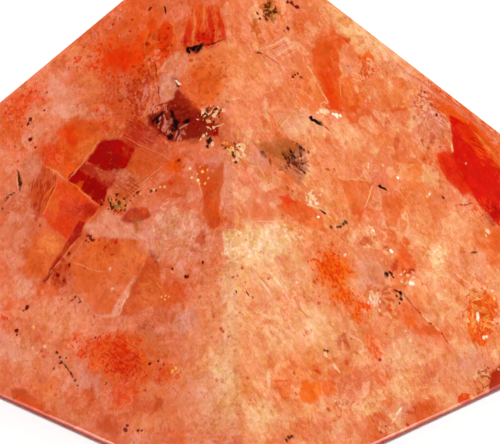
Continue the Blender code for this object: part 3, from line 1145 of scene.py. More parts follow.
marks["dark grit and glints, right side"] = [
    haze("lilac", 0.5, 372, 276, 16, 18),
    facets("blush", 0.7, 378, 296, 16, 14),
    flaws("rust", 0.6, 384, 296, 16, 14),
    facets("ivory", 0.5, 372, 298, 9, 10),
    wash("orange", 0.7, 404, 248, 8, 14, -50),
    wash("orange", 0.6, 402, 262, 14, 11),
    panel(
        "orange", 0.45, (387, 262), (398, 254), (408, 252), (417, 262), (415, 272), (402, 274),
        (390, 272),
    ),
    wash("brick", 0.6, 393, 266, 6, 5),
    wash("brick", 0.75, 409, 269, 7, 3.4, 20),
    wash("brick", 0.75, 386, 246.5, 7, 3.4, 15),
    facets("ivory", 0.5, 408, 278, 11, 8),
    flecks("soot", 0.95, (386, 275, 3), (392, 274.5, 2.6), (389, 272.5, 1.6), (394, 277.5, 1.6)),
    line("soot", 0.95, 394, 289, 403, 294, 3),
    flecks("soot", 0.95, (401, 293.5, 2.6), (401, 298.5, 2.4), (399, 303, 1.6), (397, 296, 1.4)),
    wash("ember", 0.5, 384, 308, 8, 10),
    # Painted glints: white, cream and ivory sparkles of light off the platelets
    flecks(
        "paintedGlint", 1.0, (391, 251, 1.9), (410.7, 283, 2.4), (413.6, 283.3, 1.8), (373, 230.5, 1.8),
        (370, 298, 1.8),
    ),
    flecks(
        "cream", 0.9, (386, 252.5, 2.2), (373, 233, 3), (372, 228, 1.8), (380, 309, 2), (406, 331.5, 1.4),
    ),
    flecks("ivory", 0.9, (488, 231, 2.6), (410, 341, 1.8), (486, 235, 1.5), (435, 251.7, 1.6)),
    flecks("orange", 0.9, (389, 309, 3.4), (390, 305.5, 2.2), (380.5, 313.5, 2), (386, 334, 1.7)),
    grain("rust", 0.6, 366, 242, 6, 5),
    # Painted glints in cream
    flecks("cream", 0.8, (368, 245.5, 2.2), (365, 247, 1.6)),
]
marks["lens beside the crack"] = [
    wash("orange", 0.5, 410, 318, 14, 14, 40),
    panel(
        "orange", 0.5, (403, 300), (418, 312), (430, 322), (443, 335), (433, 336), (420, 335), (410, 332),
        (403, 321), (399, 310),
    ),
    wash("tangerine", 0.6, 412, 320, 9, 9),
    wash("ember", 0.5, 431, 330, 9, 5, 40),
    line("maroon", 0.7, 403, 294, 418, 312, 1.7),
    line("brick", 0.6, 418, 312, 440, 332, 1.6),
    line("brick", 0.7, 440, 332, 450, 345, 1.5),
    line("brick", 0.4, 450, 345, 458, 354, 1.4),
    flecks("cream", 0.8, (424, 316, 1.4), (428, 320, 1.6), (433, 325, 1.3), (438, 330, 1.2)),
    flecks("brick", 0.85, (420, 313, 1.5), (430, 323, 1.3), (442, 334, 1.5), (447, 341, 1.3)),
    line("cream", 0.85, 422, 315, 430, 321, 1.8),
    line("cream", 0.8, 434, 326, 440, 332, 1.6),
    haze("apricot", 0.5, 420, 296, 12, 16, -30),
]
marks["pale band and stroke, right side"] = [
    haze("cream", 0.6, 438, 258, 9, 18, 10),
    facets("ivory", 0.45, 438, 258, 9, 12),
    line("ivory", 0.5, 428, 262, 442, 256, 1.6),
    haze("blush", 0.5, 470, 264, 22, 14, 20),
    line("rose", 0.75, 449, 272, 468, 288, 6),
    line("rust", 0.4, 456, 280, 469, 288, 2),
    line("cream", 0.5, 452, 270, 474, 288, 2),
    line("umber", 0.85, 471, 251.5, 477, 253, 2.2),
    line("rust", 0.7, 461, 252, 467, 252, 1.8),
    wash("orange", 0.6, 492, 250, 12, 18, 10),
]
marks["orange crystal with glints"] = [
    panel(
        "tangerine", 0.8, (470, 300), (487, 291), (497, 297), (498, 308), (491, 330), (486, 346),
        (473, 343), (467, 330), (467, 314),
    ),
    cloud("flame", 0.7, 482, 316, 18, 32),
    flaws("ember", 0.75, 482, 316, 20, 32),
    facets("gold", 0.3, 480, 316, 14, 22),
    wash("flame", 0.4, 480, 336, 8, 8),
    line("gold", 0.8, 471, 300, 484, 297, 2),
    # Painted glints: white and gold sparkles of light off the platelets
    line("paintedGlint", 0.95, 478, 311, 478.5, 321, 3.4),
    flecks(
        "gold", 0.95, (468, 320, 2.2), (494, 298, 2), (491, 290.5, 1.8), (495, 310, 1.5), (477, 298, 1.6),
    ),
    flecks("paintedGlint", 0.95, (484, 337.5, 2.1), (487, 337, 1.6), (491.5, 290.5, 1)),
    line("gold", 0.5, 473, 303, 474, 330, 1.4),
]
marks["orange patches low on the right side"] = [
    wash("tangerine", 0.6, 374, 348, 10, 14, -30),
    cloud("flame", 0.6, 374, 348, 10, 14, -30),
    flecks("brick", 0.9, (380, 359.5, 2.4)),
    wash("amber", 0.5, 380, 375, 6, 11, 10),
    cloud("flame", 0.4, 380, 376, 7, 10),
    wash("amber", 0.55, 288, 370, 10, 8),
    flecks("rust", 0.85, (294, 373.5, 1.8)),
    line("ivory", 0.55, 268, 369, 269, 388, 4),
    panel("orange", 0.55, (272, 380), (292, 380), (289, 401), (283, 398)),
    haze("apricot", 0.5, 284, 386, 6, 5),
    line("orange", 0.7, 272, 381, 290, 381, 2.2),
    line("orange", 0.6, 274, 383, 286, 400, 2),
    flecks("rust", 0.8, (296, 393, 2)),
    panel(
        "tangerine", 0.8, (303, 381), (316, 383), (320, 380), (322, 396), (314, 403), (302, 402),
        (298, 393),
    ),
    panel("tangerine", 0.7, (321, 381), (332, 379), (338, 390), (336, 394), (322, 392)),
    cloud("flame", 0.4, 330, 386, 9, 8),
    wash("apricot", 0.7, 304, 408, 10, 12),
    wash("orange", 0.7, 316.5, 371, 6, 5),
    flecks("flame", 0.7, (317, 371, 2.4), (346, 362, 3)),
    flecks("umber", 0.9, (324, 349.7, 2.2), (327.5, 350, 2)),
    # Painted glints in ivory
    flecks("ivory", 0.95, (325, 353, 2.2), (333, 325, 2), (327, 356, 1.6)),
    line("ivory", 0.85, 333, 364, 340, 374, 2.6),
    line("orange", 0.6, 332, 368, 338, 375, 1.8),
    wash("rose", 0.65, 348, 347, 12, 12),
    wash("rust", 0.65, 341, 342, 4, 7),
    flecks("cream", 0.8, (354, 355, 2.4)),
    wash("rust", 0.7, 340, 406, 4, 9, 30),
    wash("rust", 0.6, 356, 402, 6, 6),
    cloud("rust", 0.5, 354, 388, 24, 18, -40),
    wash("rose", 0.4, 356, 388, 22, 16, -40),
    haze("cream", 0.65, 368, 409, 12, 7, -10),
    flecks("rust", 0.8, (327.5, 410, 2), (351, 339, 1.8)),
    wash("orange", 0.5, 376, 416, 6, 5),
]
marks["ground low on the right side"] = [
    haze("cream", 0.4, 402, 356, 18, 16),
    wash("rose", 0.65, 428, 380, 10, 14, 25),
    cloud("rust", 0.35, 428, 380, 12, 14, 25),
    haze("lilac", 0.5, 470, 360, 16, 14, -20),
    facets("blush", 0.5, 468, 368, 24, 16, -20),
    flaws("umber", 0.7, 483, 378, 9, 14, 20),
    facets("cream", 0.5, 480, 376, 10, 12),
    flecks(
        "olive", 0.85, (479, 372, 2.2), (486, 371, 2.2), (482, 377, 2), (478, 393, 2), (484, 366, 1.6),
    ),
    panel("brick", 0.95, (490, 374), (501, 364), (501, 388), (489, 393)),
    wash("maroon", 0.6, 493, 386, 5, 6),
    # Painted glint in cream
    flecks("cream", 0.95, (498.5, 369.3, 1.6)),
    grain("flame", 0.95, 464, 398, 7.5, 5.5, -28),
    flecks("tangerine", 0.8, (465, 395.5, 2.6)),
    flecks("gold", 0.95, (471, 396.5, 2.4), (473, 398.5, 1.6)),
    panel(
        "ember", 0.3, (404, 410), (416, 404), (430, 404), (444, 408), (449, 404), (449, 409), (408, 428),
        (402, 422),
    ),
    wash("orange", 0.5, 424, 415, 24, 9, -24),
    cloud("brick", 0.25, 420, 414, 22, 10, -20),
    wash("brick", 0.6, 410, 414, 6, 5),
    flecks("brick", 0.85, (408, 425, 2)),
    line("lilac", 0.8, 405, 402, 402, 420, 3),
    # Painted glints: a white and ivory streak of light
    line("paintedGlint", 0.85, 402, 408, 396, 415, 2.4),
    line("ivory", 0.85, 396, 415, 391, 424, 2),
    flecks("cream", 0.9, (379, 429, 1.8), (383, 431, 1.6), (390, 428, 1.3)),
    flecks("umber", 0.8, (381, 433, 1.4), (386, 427, 1.3)),
    flecks("brick", 0.9, (382.5, 441, 2.6)),
    wash("ember", 0.15, 408, 432, 20, 6, -25),
    wash("amber", 0.5, 372, 435, 9, 12),
    wash("amber", 0.5, 292, 436, 14, 12),
    flecks("maroon", 0.95, (290, 438, 2.8), (286.5, 440.5, 2), (293, 436, 1.6)),
    haze("cream", 0.5, 262, 420, 14, 20),
]


# Turns each mark into rows that give its own coordinates from a side's flat ones
def ovalRows(locate, oval):
    x, y, across, down, turn = oval
    here, perPixel = locate(x, y)
    cosine, sine = math.cos(math.radians(turn)), math.sin(math.radians(turn))
    shape = perPixel @ np.array([[cosine, -sine], [sine, cosine]]) @ np.diag([across, down])
    rows = np.zeros((2, 3))
    rows[:, :2] = np.linalg.inv(shape)
    rows[:, 2] = -rows[:, :2] @ here
    return rows, here, np.linalg.svd(shape)[1][0]


def crossing(first, second, third):
    # Twice the area between three corners, negative where they turn back
    (x1, y1), (x2, y2), (x3, y3) = first, second, third
    return (x2 - x1) * (y3 - y1) - (y2 - y1) * (x3 - x1)


def convexParts(corners):
    # Splits an outline at its dents, by the shortest cut, until every part is convex
    count = len(corners)
    if sum(crossing((0, 0), corners[i - 1], corners[i]) for i in range(count)) < 0:
        corners = corners[::-1]
    edges = list(zip(corners, corners[1:] + corners[:1]))

    def meetsEdge(start, end):
        return any(
            crossing(start, end, one) * crossing(start, end, other) < 0
            and crossing(one, other, start) * crossing(one, other, end) < 0
            for one, other in edges
        )

    cuts = []
    for i, (corner, following) in enumerate(edges):
        if crossing(corners[i - 1], corner, following) >= -layout["dent"]:
            continue
        for j in [(i + step) % count for step in range(2, count - 1)]:
            end = corners[j]
            outside = crossing(corners[i - 1], corner, end) < 0 < crossing(corner, following, end)
            if not outside and not meetsEdge(corner, end):
                cuts.append((math.dist(corner, end), min(i, j), max(i, j)))
    if not cuts:
        return [corners]
    i, j = min(cuts, key=lambda cut: cut[0])[1:]
    return convexParts(corners[i:j + 1]) + convexParts(corners[j:] + corners[:i + 1])


def panelRows(locate, corners):
    corners = list(corners)
    edges = {frozenset(pair) for pair in zip(corners, corners[1:] + corners[:1])}
    middle = np.mean([locate(x, y)[0] for x, y in corners], axis=0)
    parts = []
    for part in convexParts(corners):
        flat = [locate(x, y)[0] for x, y in part]
        centre = sum(flat) / len(flat)
        rows = []
        for i, start in enumerate(flat):
            following = (i + 1) % len(flat)
            along = flat[following] - start
            along = along / np.linalg.norm(along)
            out = np.array([along[1], -along[0]])
            if out @ (centre - start) > 0:
                out = -out
            overlap = 0 if frozenset((part[i], part[following])) in edges else layout["overlap"]
            rows.append([out[0], out[1], -out @ start - overlap])
        parts.append(np.array(rows))
    return parts, middle, max(np.linalg.norm(locate(x, y)[0] - middle) for x, y in corners)


def spotRows(locate, spot):
    x, y, radius = spot
    here, perPixel = locate(x, y)
    size = radius * math.sqrt(abs(np.linalg.det(perPixel)))
    return np.array([here[0], here[1], size]), here, size


pixelFrames = {name: functools.partial(pixelFrame, sides[name]) for name in shownSides}


def shapesIn(mark):
    # What the mark is made of: each shape with its middle and the function that gives its rows
    if "oval" in mark:
        return [(mark["oval"], mark["oval"][:2], ovalRows)]
    if "corners" in mark:
        return [(mark["corners"], np.mean(mark["corners"], axis=0), panelRows)]
    return [(spot, spot[:2], spotRows) for spot in mark["spots"]]


def placeMark(mark):
    # Lists the mark's shapes on every side that it reaches
    placed = {}
    for shape, middle, makeRows in shapesIn(mark):
        for name in shownSides:
            rows, here, reach = makeRows(pixelFrames[name], shape)
            if outsideBy(sides[name], here) < reach * layout["reaches"] + layout["margin"]:
                placed.setdefault(name, []).append(rows)
        home = sideAt(*middle)
        rows, here, reach = makeRows(pixelFrames[home], shape)
        for name in hiddenSides:
            if (name, home) not in neighbours:
                continue
            back = unfolded(sides[home], sides[name])
            there = (np.linalg.inv(back) @ np.array([here[0], here[1], 1]))[:2]
            if outsideBy(sides[name], there) >= reach * layout["reaches"]:
                continue
            if makeRows is spotRows:
                rowsThere = np.array([there[0], there[1], rows[2]])
            elif makeRows is panelRows:
                rowsThere = [part @ back for part in rows]
            else:
                rowsThere = rows @ back
            placed.setdefault(name, []).append(rowsThere)
    return placed


placedTones = {title: [(mark, placeMark(mark)) for mark in group] for title, group in tones.items()}
placedMarks = {title: [(mark, placeMark(mark)) for mark in group] for title, group in marks.items()}
print("marks placed:", sum(len(group) for group in placedMarks.values()))

# Ways that fibres run in the picture, in degrees below level, and where their slope is measured
fibreTurns = {"Slant": 33, "Steep": 100, "Rise": -35}
fibreSpots = {"front": (130, 250), "right": (370, 250)}
fibreSize = (11, 1.9)


# What grows in the sides that the photograph doesn't show, strewn over each; sizes in mm
def growth(kind, count, colours, strength, size):
    return {"kind": kind, "count": count, "colours": colours, "strength": strength, "size": size}


growths = [
    growth("wash", 16, ("orange", "ember", "blush", "rust", "salmon"), (0.4, 0.7), (3, 7)),
    growth("cloud", 8, ("flame", "brick", "rust", "flame"), (0.6, 0.95), (1.8, 3.8)),
    growth("haze", 14, ("cream", "blush", "lilac"), (0.4, 0.7), (1.2, 3.2)),
    growth("panel", 6, ("amber", "orange", "rust", "ember", "brick"), (0.35, 0.75), (1.2, 2.6)),
    growth("streaks", 8, ("rust", "brick", "blush"), (0.5, 0.8), (1.2, 2.4)),
    growth("facets", 8, ("blush", "cream", "ivory"), (0.4, 0.7), (0.8, 1.6)),
    growth("flaws", 8, ("umber", "rust", "brick"), (0.5, 0.9), (0.7, 1.3)),
    growth("line", 10, ("cream", "umber", "peach", "soot"), (0.4, 0.8), (0.8, 2.2)),
    growth("flecks", 16, ("maroon", "umber", "rust", "gold", "flame"), (0.7, 1.0), (0.07, 0.15)),
]
strewing = {
    "seeds": {"back": 5, "left": 11, "base": 23},
    "perGroup": 15,
    "edgeGap": 0.5,
    "turnSpread": 12,
    "flatness": (0.4, 0.8),
    "lineWidth": 0.075,
    "fleckSpread": 2.6,
    "flecksEach": 5,
    "fleckSizes": (0.6, 1),
    "panelCorners": (4, 5),
    "panelSpread": 20,
    "panelReach": (0.5, 1.2),
    "panelFlatness": 0.6,
}


def flatFrame(x, y):
    return np.array([x, y]), np.eye(2)


def spotInside(side, draw):
    low, high = np.min(side["outline"], axis=0), np.max(side["outline"], axis=0)
    while True:
        spot = np.array([draw.uniform(low[0], high[0]), draw.uniform(low[1], high[1])])
        if outsideBy(side, spot) < -strewing["edgeGap"]:
            return spot


def strewnPanel(draw, x, y, size):
    count, spread = draw.choice(strewing["panelCorners"]), strewing["panelSpread"]
    start = draw.uniform(0, 360)
    shifts = [draw.uniform(-spread, spread) for corner in range(count)]
    reaches = [size * draw.uniform(*strewing["panelReach"]) for corner in range(count)]
    corners = []
    for corner in range(count):
        bearing = math.radians(start + 360 * corner / count + shifts[corner])
        down = reaches[corner] * strewing["panelFlatness"] * math.sin(bearing)
        corners.append((x + reaches[corner] * math.cos(bearing), y + down))
    return [panelRows(flatFrame, corners)[0]]


def strewnFlecks(draw, x, y, size):
    spread, shapes = strewing["fleckSpread"], []
    for fleck in range(strewing["flecksEach"]):
        spot = (x + draw.gauss(0, spread), y + draw.gauss(0, spread))
        radius = size * draw.uniform(*strewing["fleckSizes"])
        shapes.append(spotRows(flatFrame, (*spot, radius))[0])
    return shapes


def strewMarks(name):
    draw = random.Random(strewing["seeds"][name])
    strewn = []
    for grown in growths:
        for i in range(grown["count"]):
            (x, y), size = spotInside(sides[name], draw), draw.uniform(*grown["size"])
            turn = draw.choice(list(fibreTurns.values()))
            turn += draw.uniform(-strewing["turnSpread"], strewing["turnSpread"])
            colour = grown["colours"][i % len(grown["colours"])]
            strength = draw.uniform(*grown["strength"])
            if grown["kind"] == "panel":
                shapes = strewnPanel(draw, x, y, size)
            elif grown["kind"] == "flecks":
                shapes = strewnFlecks(draw, x, y, size)
            elif grown["kind"] == "line":
                shapes = [ovalRows(flatFrame, (x, y, size, strewing["lineWidth"], turn))[0]]
            else:
                across = size * draw.uniform(*strewing["flatness"])
                shapes = [ovalRows(flatFrame, (x, y, size, across, turn))[0]]
            mark = {"kind": grown["kind"], "colour": colour, "strength": strength, "turn": turn}
            strewn.append((mark, {name: shapes}))
    step = strewing["perGroup"]
    return {"strewn %d" % start: strewn[start:start + step] for start in range(0, len(strewn), step)}


# How the edge of each kind of mark fades, from none of its colour to all of it; "fall" is how fast
# its noise dies away from the middle, and "fray" how much noise is added to its outline
fades = {
    "wash": {"none": 1.15, "all": 0.0},
    "grain": {"none": 1.15, "all": 0.7},
    "line": {"none": 1.8, "all": 0.9, "fray": 1.2},
    "haze": {"none": 1.4, "all": 0.0, "fray": 0.5},
    "cloud": {"none": 0.44, "all": 0.52, "fall": 0.16},
    "streaks": {"none": 0.44, "all": 0.54, "fall": 0.14},
    "facets": {"none": 0.48, "all": 0.56, "fall": 0.4},
    "flaws": {"none": 0.54, "all": 0.6, "fall": 0.4},
    "panel": {"none": 0.13, "all": -0.13, "fray": 0.25},
    "flecks": {"none": 1.9, "all": 1.25, "fray": 1.5},
}


# Node group of one set of marks on one side
def markGroup(title, side, shapesOf):
    group = bpy.data.node_groups.new(title + ", " + side, "ShaderNodeTree")
    labels = {"Colour": "Color", "Crisp": "Vector", "Loose": "Vector"}
    labels.update({label: "Float" for label in ("Middle", "Small", "Grit", "Pale", "Dark", *fibreTurns)})
    for label, kind in labels.items():
        group.interface.new_socket(name=label, in_out="INPUT", socket_type="NodeSocket" + kind)
    group.interface.new_socket(name="Colour", in_out="OUTPUT", socket_type="NodeSocketColor")
    entry = group.nodes.new("NodeGroupInput")
    colour, crisp, loose, middle, small, grit, pale, dark = [
        Wire(group, socket) for socket in entry.outputs[:len(labels) - len(fibreTurns)]
    ]
    fibres = {label: Wire(group, entry.outputs[label]) for label in fibreTurns}

    def across(where, row):
        return where.vector("DOT_PRODUCT", where, tuple(row), 1)

    def scaledSum(value, scale, other):
        return value.node("Math", {"operation": "MULTIPLY_ADD"}, {0: value, 1: scale, 2: other})

    def pick(operation, values):
        return functools.reduce(lambda one, other: one.sum(operation, one, other), values)

    def square(where, rows):
        first, second = across(where, rows[0]), across(where, rows[1])
        return scaledSum(first, first, second * second)

    for mark, shapes in shapesOf:
        kind, rows = mark["kind"], shapes[0]
        fade = fades[kind]
        if kind == "wash":
            depth = square(loose, rows) + middle
        elif kind == "grain":
            depth = square(crisp, rows) + small
        elif kind == "line":
            depth = scaledSum(grit, fade["fray"], square(crisp, rows) + small)
        elif kind == "haze":
            depth = scaledSum(middle, fade["fray"], square(loose, rows))
        elif kind == "cloud":
            depth = grit - square(loose, rows) * fade["fall"]
        elif kind == "streaks":
            run = min(fibreTurns, key=lambda label: abs(fibreTurns[label] - mark["turn"]))
            depth = fibres[run] - square(loose, rows) * fade["fall"]
        elif kind == "facets":
            depth = pale - square(crisp, rows) * fade["fall"]
        elif kind == "flaws":
            depth = dark - square(crisp, rows) * fade["fall"]
        elif kind == "panel":
            depths = (pick("MAXIMUM", (across(crisp, row) for row in part)) for part in rows)
            depth = scaledSum(small, fade["fray"], pick("MINIMUM", depths))
        else:
            gaps = [
                crisp.vector("DISTANCE", crisp, (spot[0], spot[1], 1.0), 1) * (1 / spot[2])
                for spot in shapes
            ]
            depth = scaledSum(grit, fade["fray"], pick("MINIMUM", gaps))
        amount = depth.step(fade["none"], fade["all"], 0, mark["strength"])
        colour = colour.tint(palette[mark["colour"]], amount)
    colour.node("NodeGroupOutput", None, {0: colour})
    return group


# What each side's ground is made of
hazy = {
    "deep": "coral", "light": "salmon", "patch": "ember", "patchStrength": 0.45, "pale": "blush",
    "paleStrength": 0.45, "crystals": 0.6, "speck": "rust", "speckFrom": 0.62, "speckStrength": 0.45,
}
sandy = {
    "deep": "rose", "light": "peach", "patch": "amber", "patchStrength": 0.5, "pale": "cream",
    "paleStrength": 0.5, "crystals": 0.8, "speck": "rust", "speckFrom": 0.66, "speckStrength": 0.4,
}
grounds = {"front": hazy, "left": hazy, "right": sandy, "back": sandy, "base": sandy}

# Cleavage runs through the whole stone in one direction, and stretches the grain along it
cleavageTilt = 41
noises = {
    "broad": {"scale": 0.13, "detail": 3},
    "middle": {"scale": 0.5, "detail": 4, "roughness": 0.6},
    "patch": {"scale": 0.32, "detail": 3, "roughness": 0.6, "shift": 31.0},
    "small": {"scale": 1.4, "detail": 3, "roughness": 0.6, "stretch": 1.3, "shift": 57.0},
    "grit": {"scale": 4.2, "detail": 2, "roughness": 0.6, "stretch": 1.6, "shift": 13.0},
    "tinge": {"scale": 3.1, "detail": 3, "roughness": 0.7, "output": 1, "stretch": 1.3, "shift": 29.0},
    "chips": {"scale": 3.0, "detail": 1, "stretch": 1.3, "shift": 71.0},
    "dust": {"scale": 8.0, "detail": 1, "roughness": 0.6, "shift": 83.0},
    "streak": {"scale": 2.4, "detail": 2, "roughness": 0.6, "stretch": 6.0, "shift": 19.0},
    "flake": {"scale": 1.1, "detail": 3, "roughness": 0.65, "shift": 101.0},
    "shake": {"scale": 0.9, "detail": 3, "roughness": 0.6, "output": 1},
    "sway": {"scale": 0.4, "detail": 1, "output": 1, "shift": 43.0},
}
# Crystals per mm, and how far their outlines are bent and broken, in mm
breaks = {
    "cellScale": 0.42,
    "shardScale": 1.2,
    "bitScale": 4.0,
    "crispShake": (0.4, 0.4, 0),
    "looseShake": (2.6, 2.6, 0),
    "bentShake": (0.6, 0.6, 0.6),
    "bentSway": (2.4, 2.4, 2.4),
    "crispBreak": (0.1, 0.1, 0),
    "looseBreak": (0.5, 0.5, 0),
}
# Where the mottling of the ground begins and is full
mottling = {
    "light": (0.35, 0.65),
    "patch": (0.48, 0.66),
    "pale": (0.5, 0.72),
    "rustStreaks": (0.34, 0.26),
    "rustStrength": 0.25,
    "speckFull": 0.74,
    "polish": (0.35, 0.7),
    "middleSwing": 1.1,
    "smallSwing": 0.9,
}
# Crystals all through the ground: colour, what they follow, where they begin and are full, strength
crystals = [
    ("pale", "flake", 0.56, 0.66, 0.45),
    ("patch", "flake", 0.43, 0.34, 0.4),
    ("pale", "shards", 0.86, 0.89, 0.35),
    ("orange", "shards", 0.12, 0.09, 0.3),
    ("pale", "chips", 0.34, 0.28, 0.45),
    ("pale", "streak", 0.64, 0.72, 0.3),
]
# The fine grain that shifts every colour, most in blue and least in red
sanding = {
    "sand": {"grit": 0.7, "dust": 0.55, "streak": 0.2, "paleBits": 0.1},
    "sandPatches": (0.62, 0.4, 0.45, 1.15),
    "grain": {"small": 0.9, "cells": 0.22, "shards": 0.12},
    "grainColour": (0.4, 1.0, 1.9),
    "tingeColour": (0.25, 0.6, 1.2),
}
# Heights in mm over which the foot is painted in shade, deeper low down and dark on the rounded base edge
# to offset its bright reflection, and turns duller
footShadeAndDull = {
    "deep": {"colour": "ember", "span": (2.2, 0.3), "strength": 0.25},
    "edge": {"colour": "brick", "span": (0.36, 0.12), "strength": 0.9},
    "dull": (0.5, 0.15),
}


# The paint of one side of the stone
def paintSide(name):
    material = bpy.data.materials.new("sunstone_" + name)
    material.use_nodes = True
    tree = material.node_tree
    shader = tree.nodes["Principled BSDF"]
    start = Wire(tree)
    side, look = sides[name], grounds[name]
    half = (0.5, 0.5, 0.5)

    place = start.node("TexCoord", output=3)
    place = start.node("VectorMath", {"operation": "SCALE"}, {0: place, "Scale": 1 / mm})

    def flatAxis(axis):
        return start.vector("DOT_PRODUCT", place, side[axis], 1) - side["origin"].dot(side[axis])

    flat = start.node("CombineXYZ", None, {0: flatAxis("u"), 1: flatAxis("v"), 2: 1.0})
    height = start.node("SeparateXYZ", None, {0: place}, 2)

    def noise(scale, detail, roughness=0.5, output=0, stretch=1.0, shift=0.0):
        where = place
        if stretch != 1 or shift:
            turned = {"Location": (shift, shift, -shift), "Rotation": (0, math.radians(cleavageTilt), 0)}
            turned.update({"Vector": place, "Scale": (stretch, 1.0, 1.0)})
            where = start.node("Mapping", {"vector_type": "TEXTURE"}, turned)
        inputs = {"Vector": where, "Scale": scale, "Detail": detail, "Roughness": roughness}
        return start.node("TexNoise", None, inputs, output)

    def brightness(colour, channel=0):
        return start.node("SeparateColor", None, {0: colour}, channel)

    def crystalsOf(scale):
        return start.node("TexVoronoi", None, {"Vector": bent, "Scale": breaks[scale]}, 1)

    waves = {label: noise(**settings) for label, settings in noises.items()}
    shake = start.vector("SUBTRACT", waves["shake"], half)
    sway = start.vector("SUBTRACT", waves["sway"], half)
    crisp = flat.moved(shake, breaks["crispShake"])
    loose = flat.moved(shake, breaks["looseShake"])
    bent = place.moved(shake, breaks["bentShake"]).moved(sway, breaks["bentSway"])
    waves["cells"] = brightness(crystalsOf("cellScale"))
    broken = crystalsOf("shardScale")
    waves["shards"] = brightness(broken)
    # Outlines are broken where crystals meet
    broken = start.vector("SUBTRACT", broken, half)
    crisp = crisp.moved(broken, breaks["crispBreak"])
    loose = loose.moved(broken, breaks["looseBreak"])
    seen = "front" if look is hazy else "right"
    fibres = {}
    for label, turn in fibreTurns.items():
        rows = ovalRows(pixelFrames[seen], (*fibreSpots[seen], *fibreSize, turn))[0]
        runs = {i: start.vector("DOT_PRODUCT", flat, tuple(rows[i]), 1) for i in (0, 1)}
        runs = start.node("CombineXYZ", None, runs)
        fibres[label] = start.node("TexNoise", None, {"Vector": runs, "Scale": 1.0, "Detail": 1.0})
    bits = crystalsOf("bitScale")
    waves["paleBits"], darkBits = brightness(bits), brightness(bits, 1)

    # The feldspar itself: hazy and mottled
    light = waves["broad"].step(*mottling["light"])
    ground = {0: light, 6: palette[look["deep"]], 7: palette[look["light"]]}
    colour = start.node("Mix", {"data_type": "RGBA"}, ground, 2)
    for label, wave in (("patch", "patch"), ("pale", "middle")):
        amount = waves[wave].step(*mottling[label], 0, look[label + "Strength"])
        colour = colour.tint(palette[look[label]], amount)
    senses = {
        "Crisp": crisp, "Loose": loose, "Grit": waves["grit"], "Pale": waves["paleBits"], "Dark": darkBits,
        "Middle": (waves["middle"] - 0.5) * mottling["middleSwing"],
        "Small": (waves["small"] - 0.5) * mottling["smallSwing"], **fibres,
    }

    def addGroups(colour, groups):
        for title, group in groups.items():
            shapesOf = [(mark, placed[name]) for mark, placed in group if name in placed]
            if shapesOf:
                settings = {"node_tree": markGroup(title, name, shapesOf), "label": title}
                colour = start.node("Group", settings, {"Colour": colour, **senses})
        return colour

    colour = addGroups(colour, placedTones)
    for shade, wave, begin, full, strength in crystals:
        amount = waves[wave].step(begin, full, 0, strength * look["crystals"])
        colour = colour.tint(palette[look.get(shade, shade)], amount)
    rusty = waves["streak"].step(*mottling["rustStreaks"], 0, mottling["rustStrength"])
    colour = colour.tint(palette["rust"], rusty)

    # What has grown into it
    if name in strewing["seeds"]:
        colour = addGroups(colour, strewMarks(name))
    colour = addGroups(colour, placedMarks)

    def mixed(amounts):
        parts = ((waves[label] - 0.5) * amount for label, amount in amounts.items())
        return functools.reduce(lambda one, other: one + other, parts)

    sand = mixed(sanding["sand"]) * waves["patch"].step(*sanding["sandPatches"])
    gain = {0: sanding["grainColour"], "Scale": mixed(sanding["grain"]) + sand}
    gain = start.node("VectorMath", {"operation": "SCALE"}, gain)
    tinge = start.vector("SUBTRACT", waves["tinge"], half)
    gain = gain.moved(tinge, sanding["tingeColour"])
    colour = colour.vector("MULTIPLY", colour, start.vector("ADD", gain, (1.0, 1.0, 1.0)))
    speckle = waves["chips"].step(look["speckFrom"], mottling["speckFull"], 0, look["speckStrength"])
    colour = colour.tint(palette[look["speck"]], speckle)
    # Painted shade at the foot: a deeper band low down and a dark base edge
    for part in (footShadeAndDull["deep"], footShadeAndDull["edge"]):
        colour = colour.tint(palette[part["colour"]], height.step(*part["span"], 0, part["strength"]))
    tree.links.new(colour.socket, shader.inputs["Base Color"])

    # Polished, a little duller in patches, and dull at the foot
    polish = waves["middle"].step(*mottling["polish"], stoneLooks["roughness"], stoneLooks["dullest"])
    polish = polish.sum("MAXIMUM", polish, height.step(*footShadeAndDull["dull"], 0, stoneLooks["dullFoot"]))
    tree.links.new(polish.socket, shader.inputs["Roughness"])
    shader.inputs["IOR"].default_value = stoneLooks["ior"]
    bump = {"Strength": stoneLooks["bump"], "Distance": stoneLooks["bumpDepth"] * mm}
    bump["Height"] = waves["dust"]
    tree.links.new(start.node("Bump", None, bump).socket, shader.inputs["Normal"])
    print("painted side", name)
    return material


# The cut stone: a four-sided cone, its tip moved off the middle, its edges rounded
def selectOnly(thing):
    bpy.ops.object.select_all(action="DESELECT")
    thing.select_set(True)
    bpy.context.view_layer.objects.active = thing


def cutStone():
    bpy.ops.object.select_all(action="DESELECT")
    bpy.ops.mesh.primitive_cone_add(
        vertices=4,
        radius1=stone["baseSide"] / math.sqrt(2) * mm,
        radius2=0.0,
        depth=stone["height"] * mm,
        location=(0, 0, stone["height"] / 2 * mm),
        rotation=(0, 0, math.radians(45)),
    )
    piece = bpy.context.active_object
    piece.name = "polished_stone"
    bpy.ops.object.transform_apply(location=True, rotation=True, scale=True)
    tip = max(piece.data.vertices, key=lambda vertex: vertex.co.z)
    tip.co.x += stone["tipShift"][0] * mm
    tip.co.y += stone["tipShift"][1] * mm
    return piece


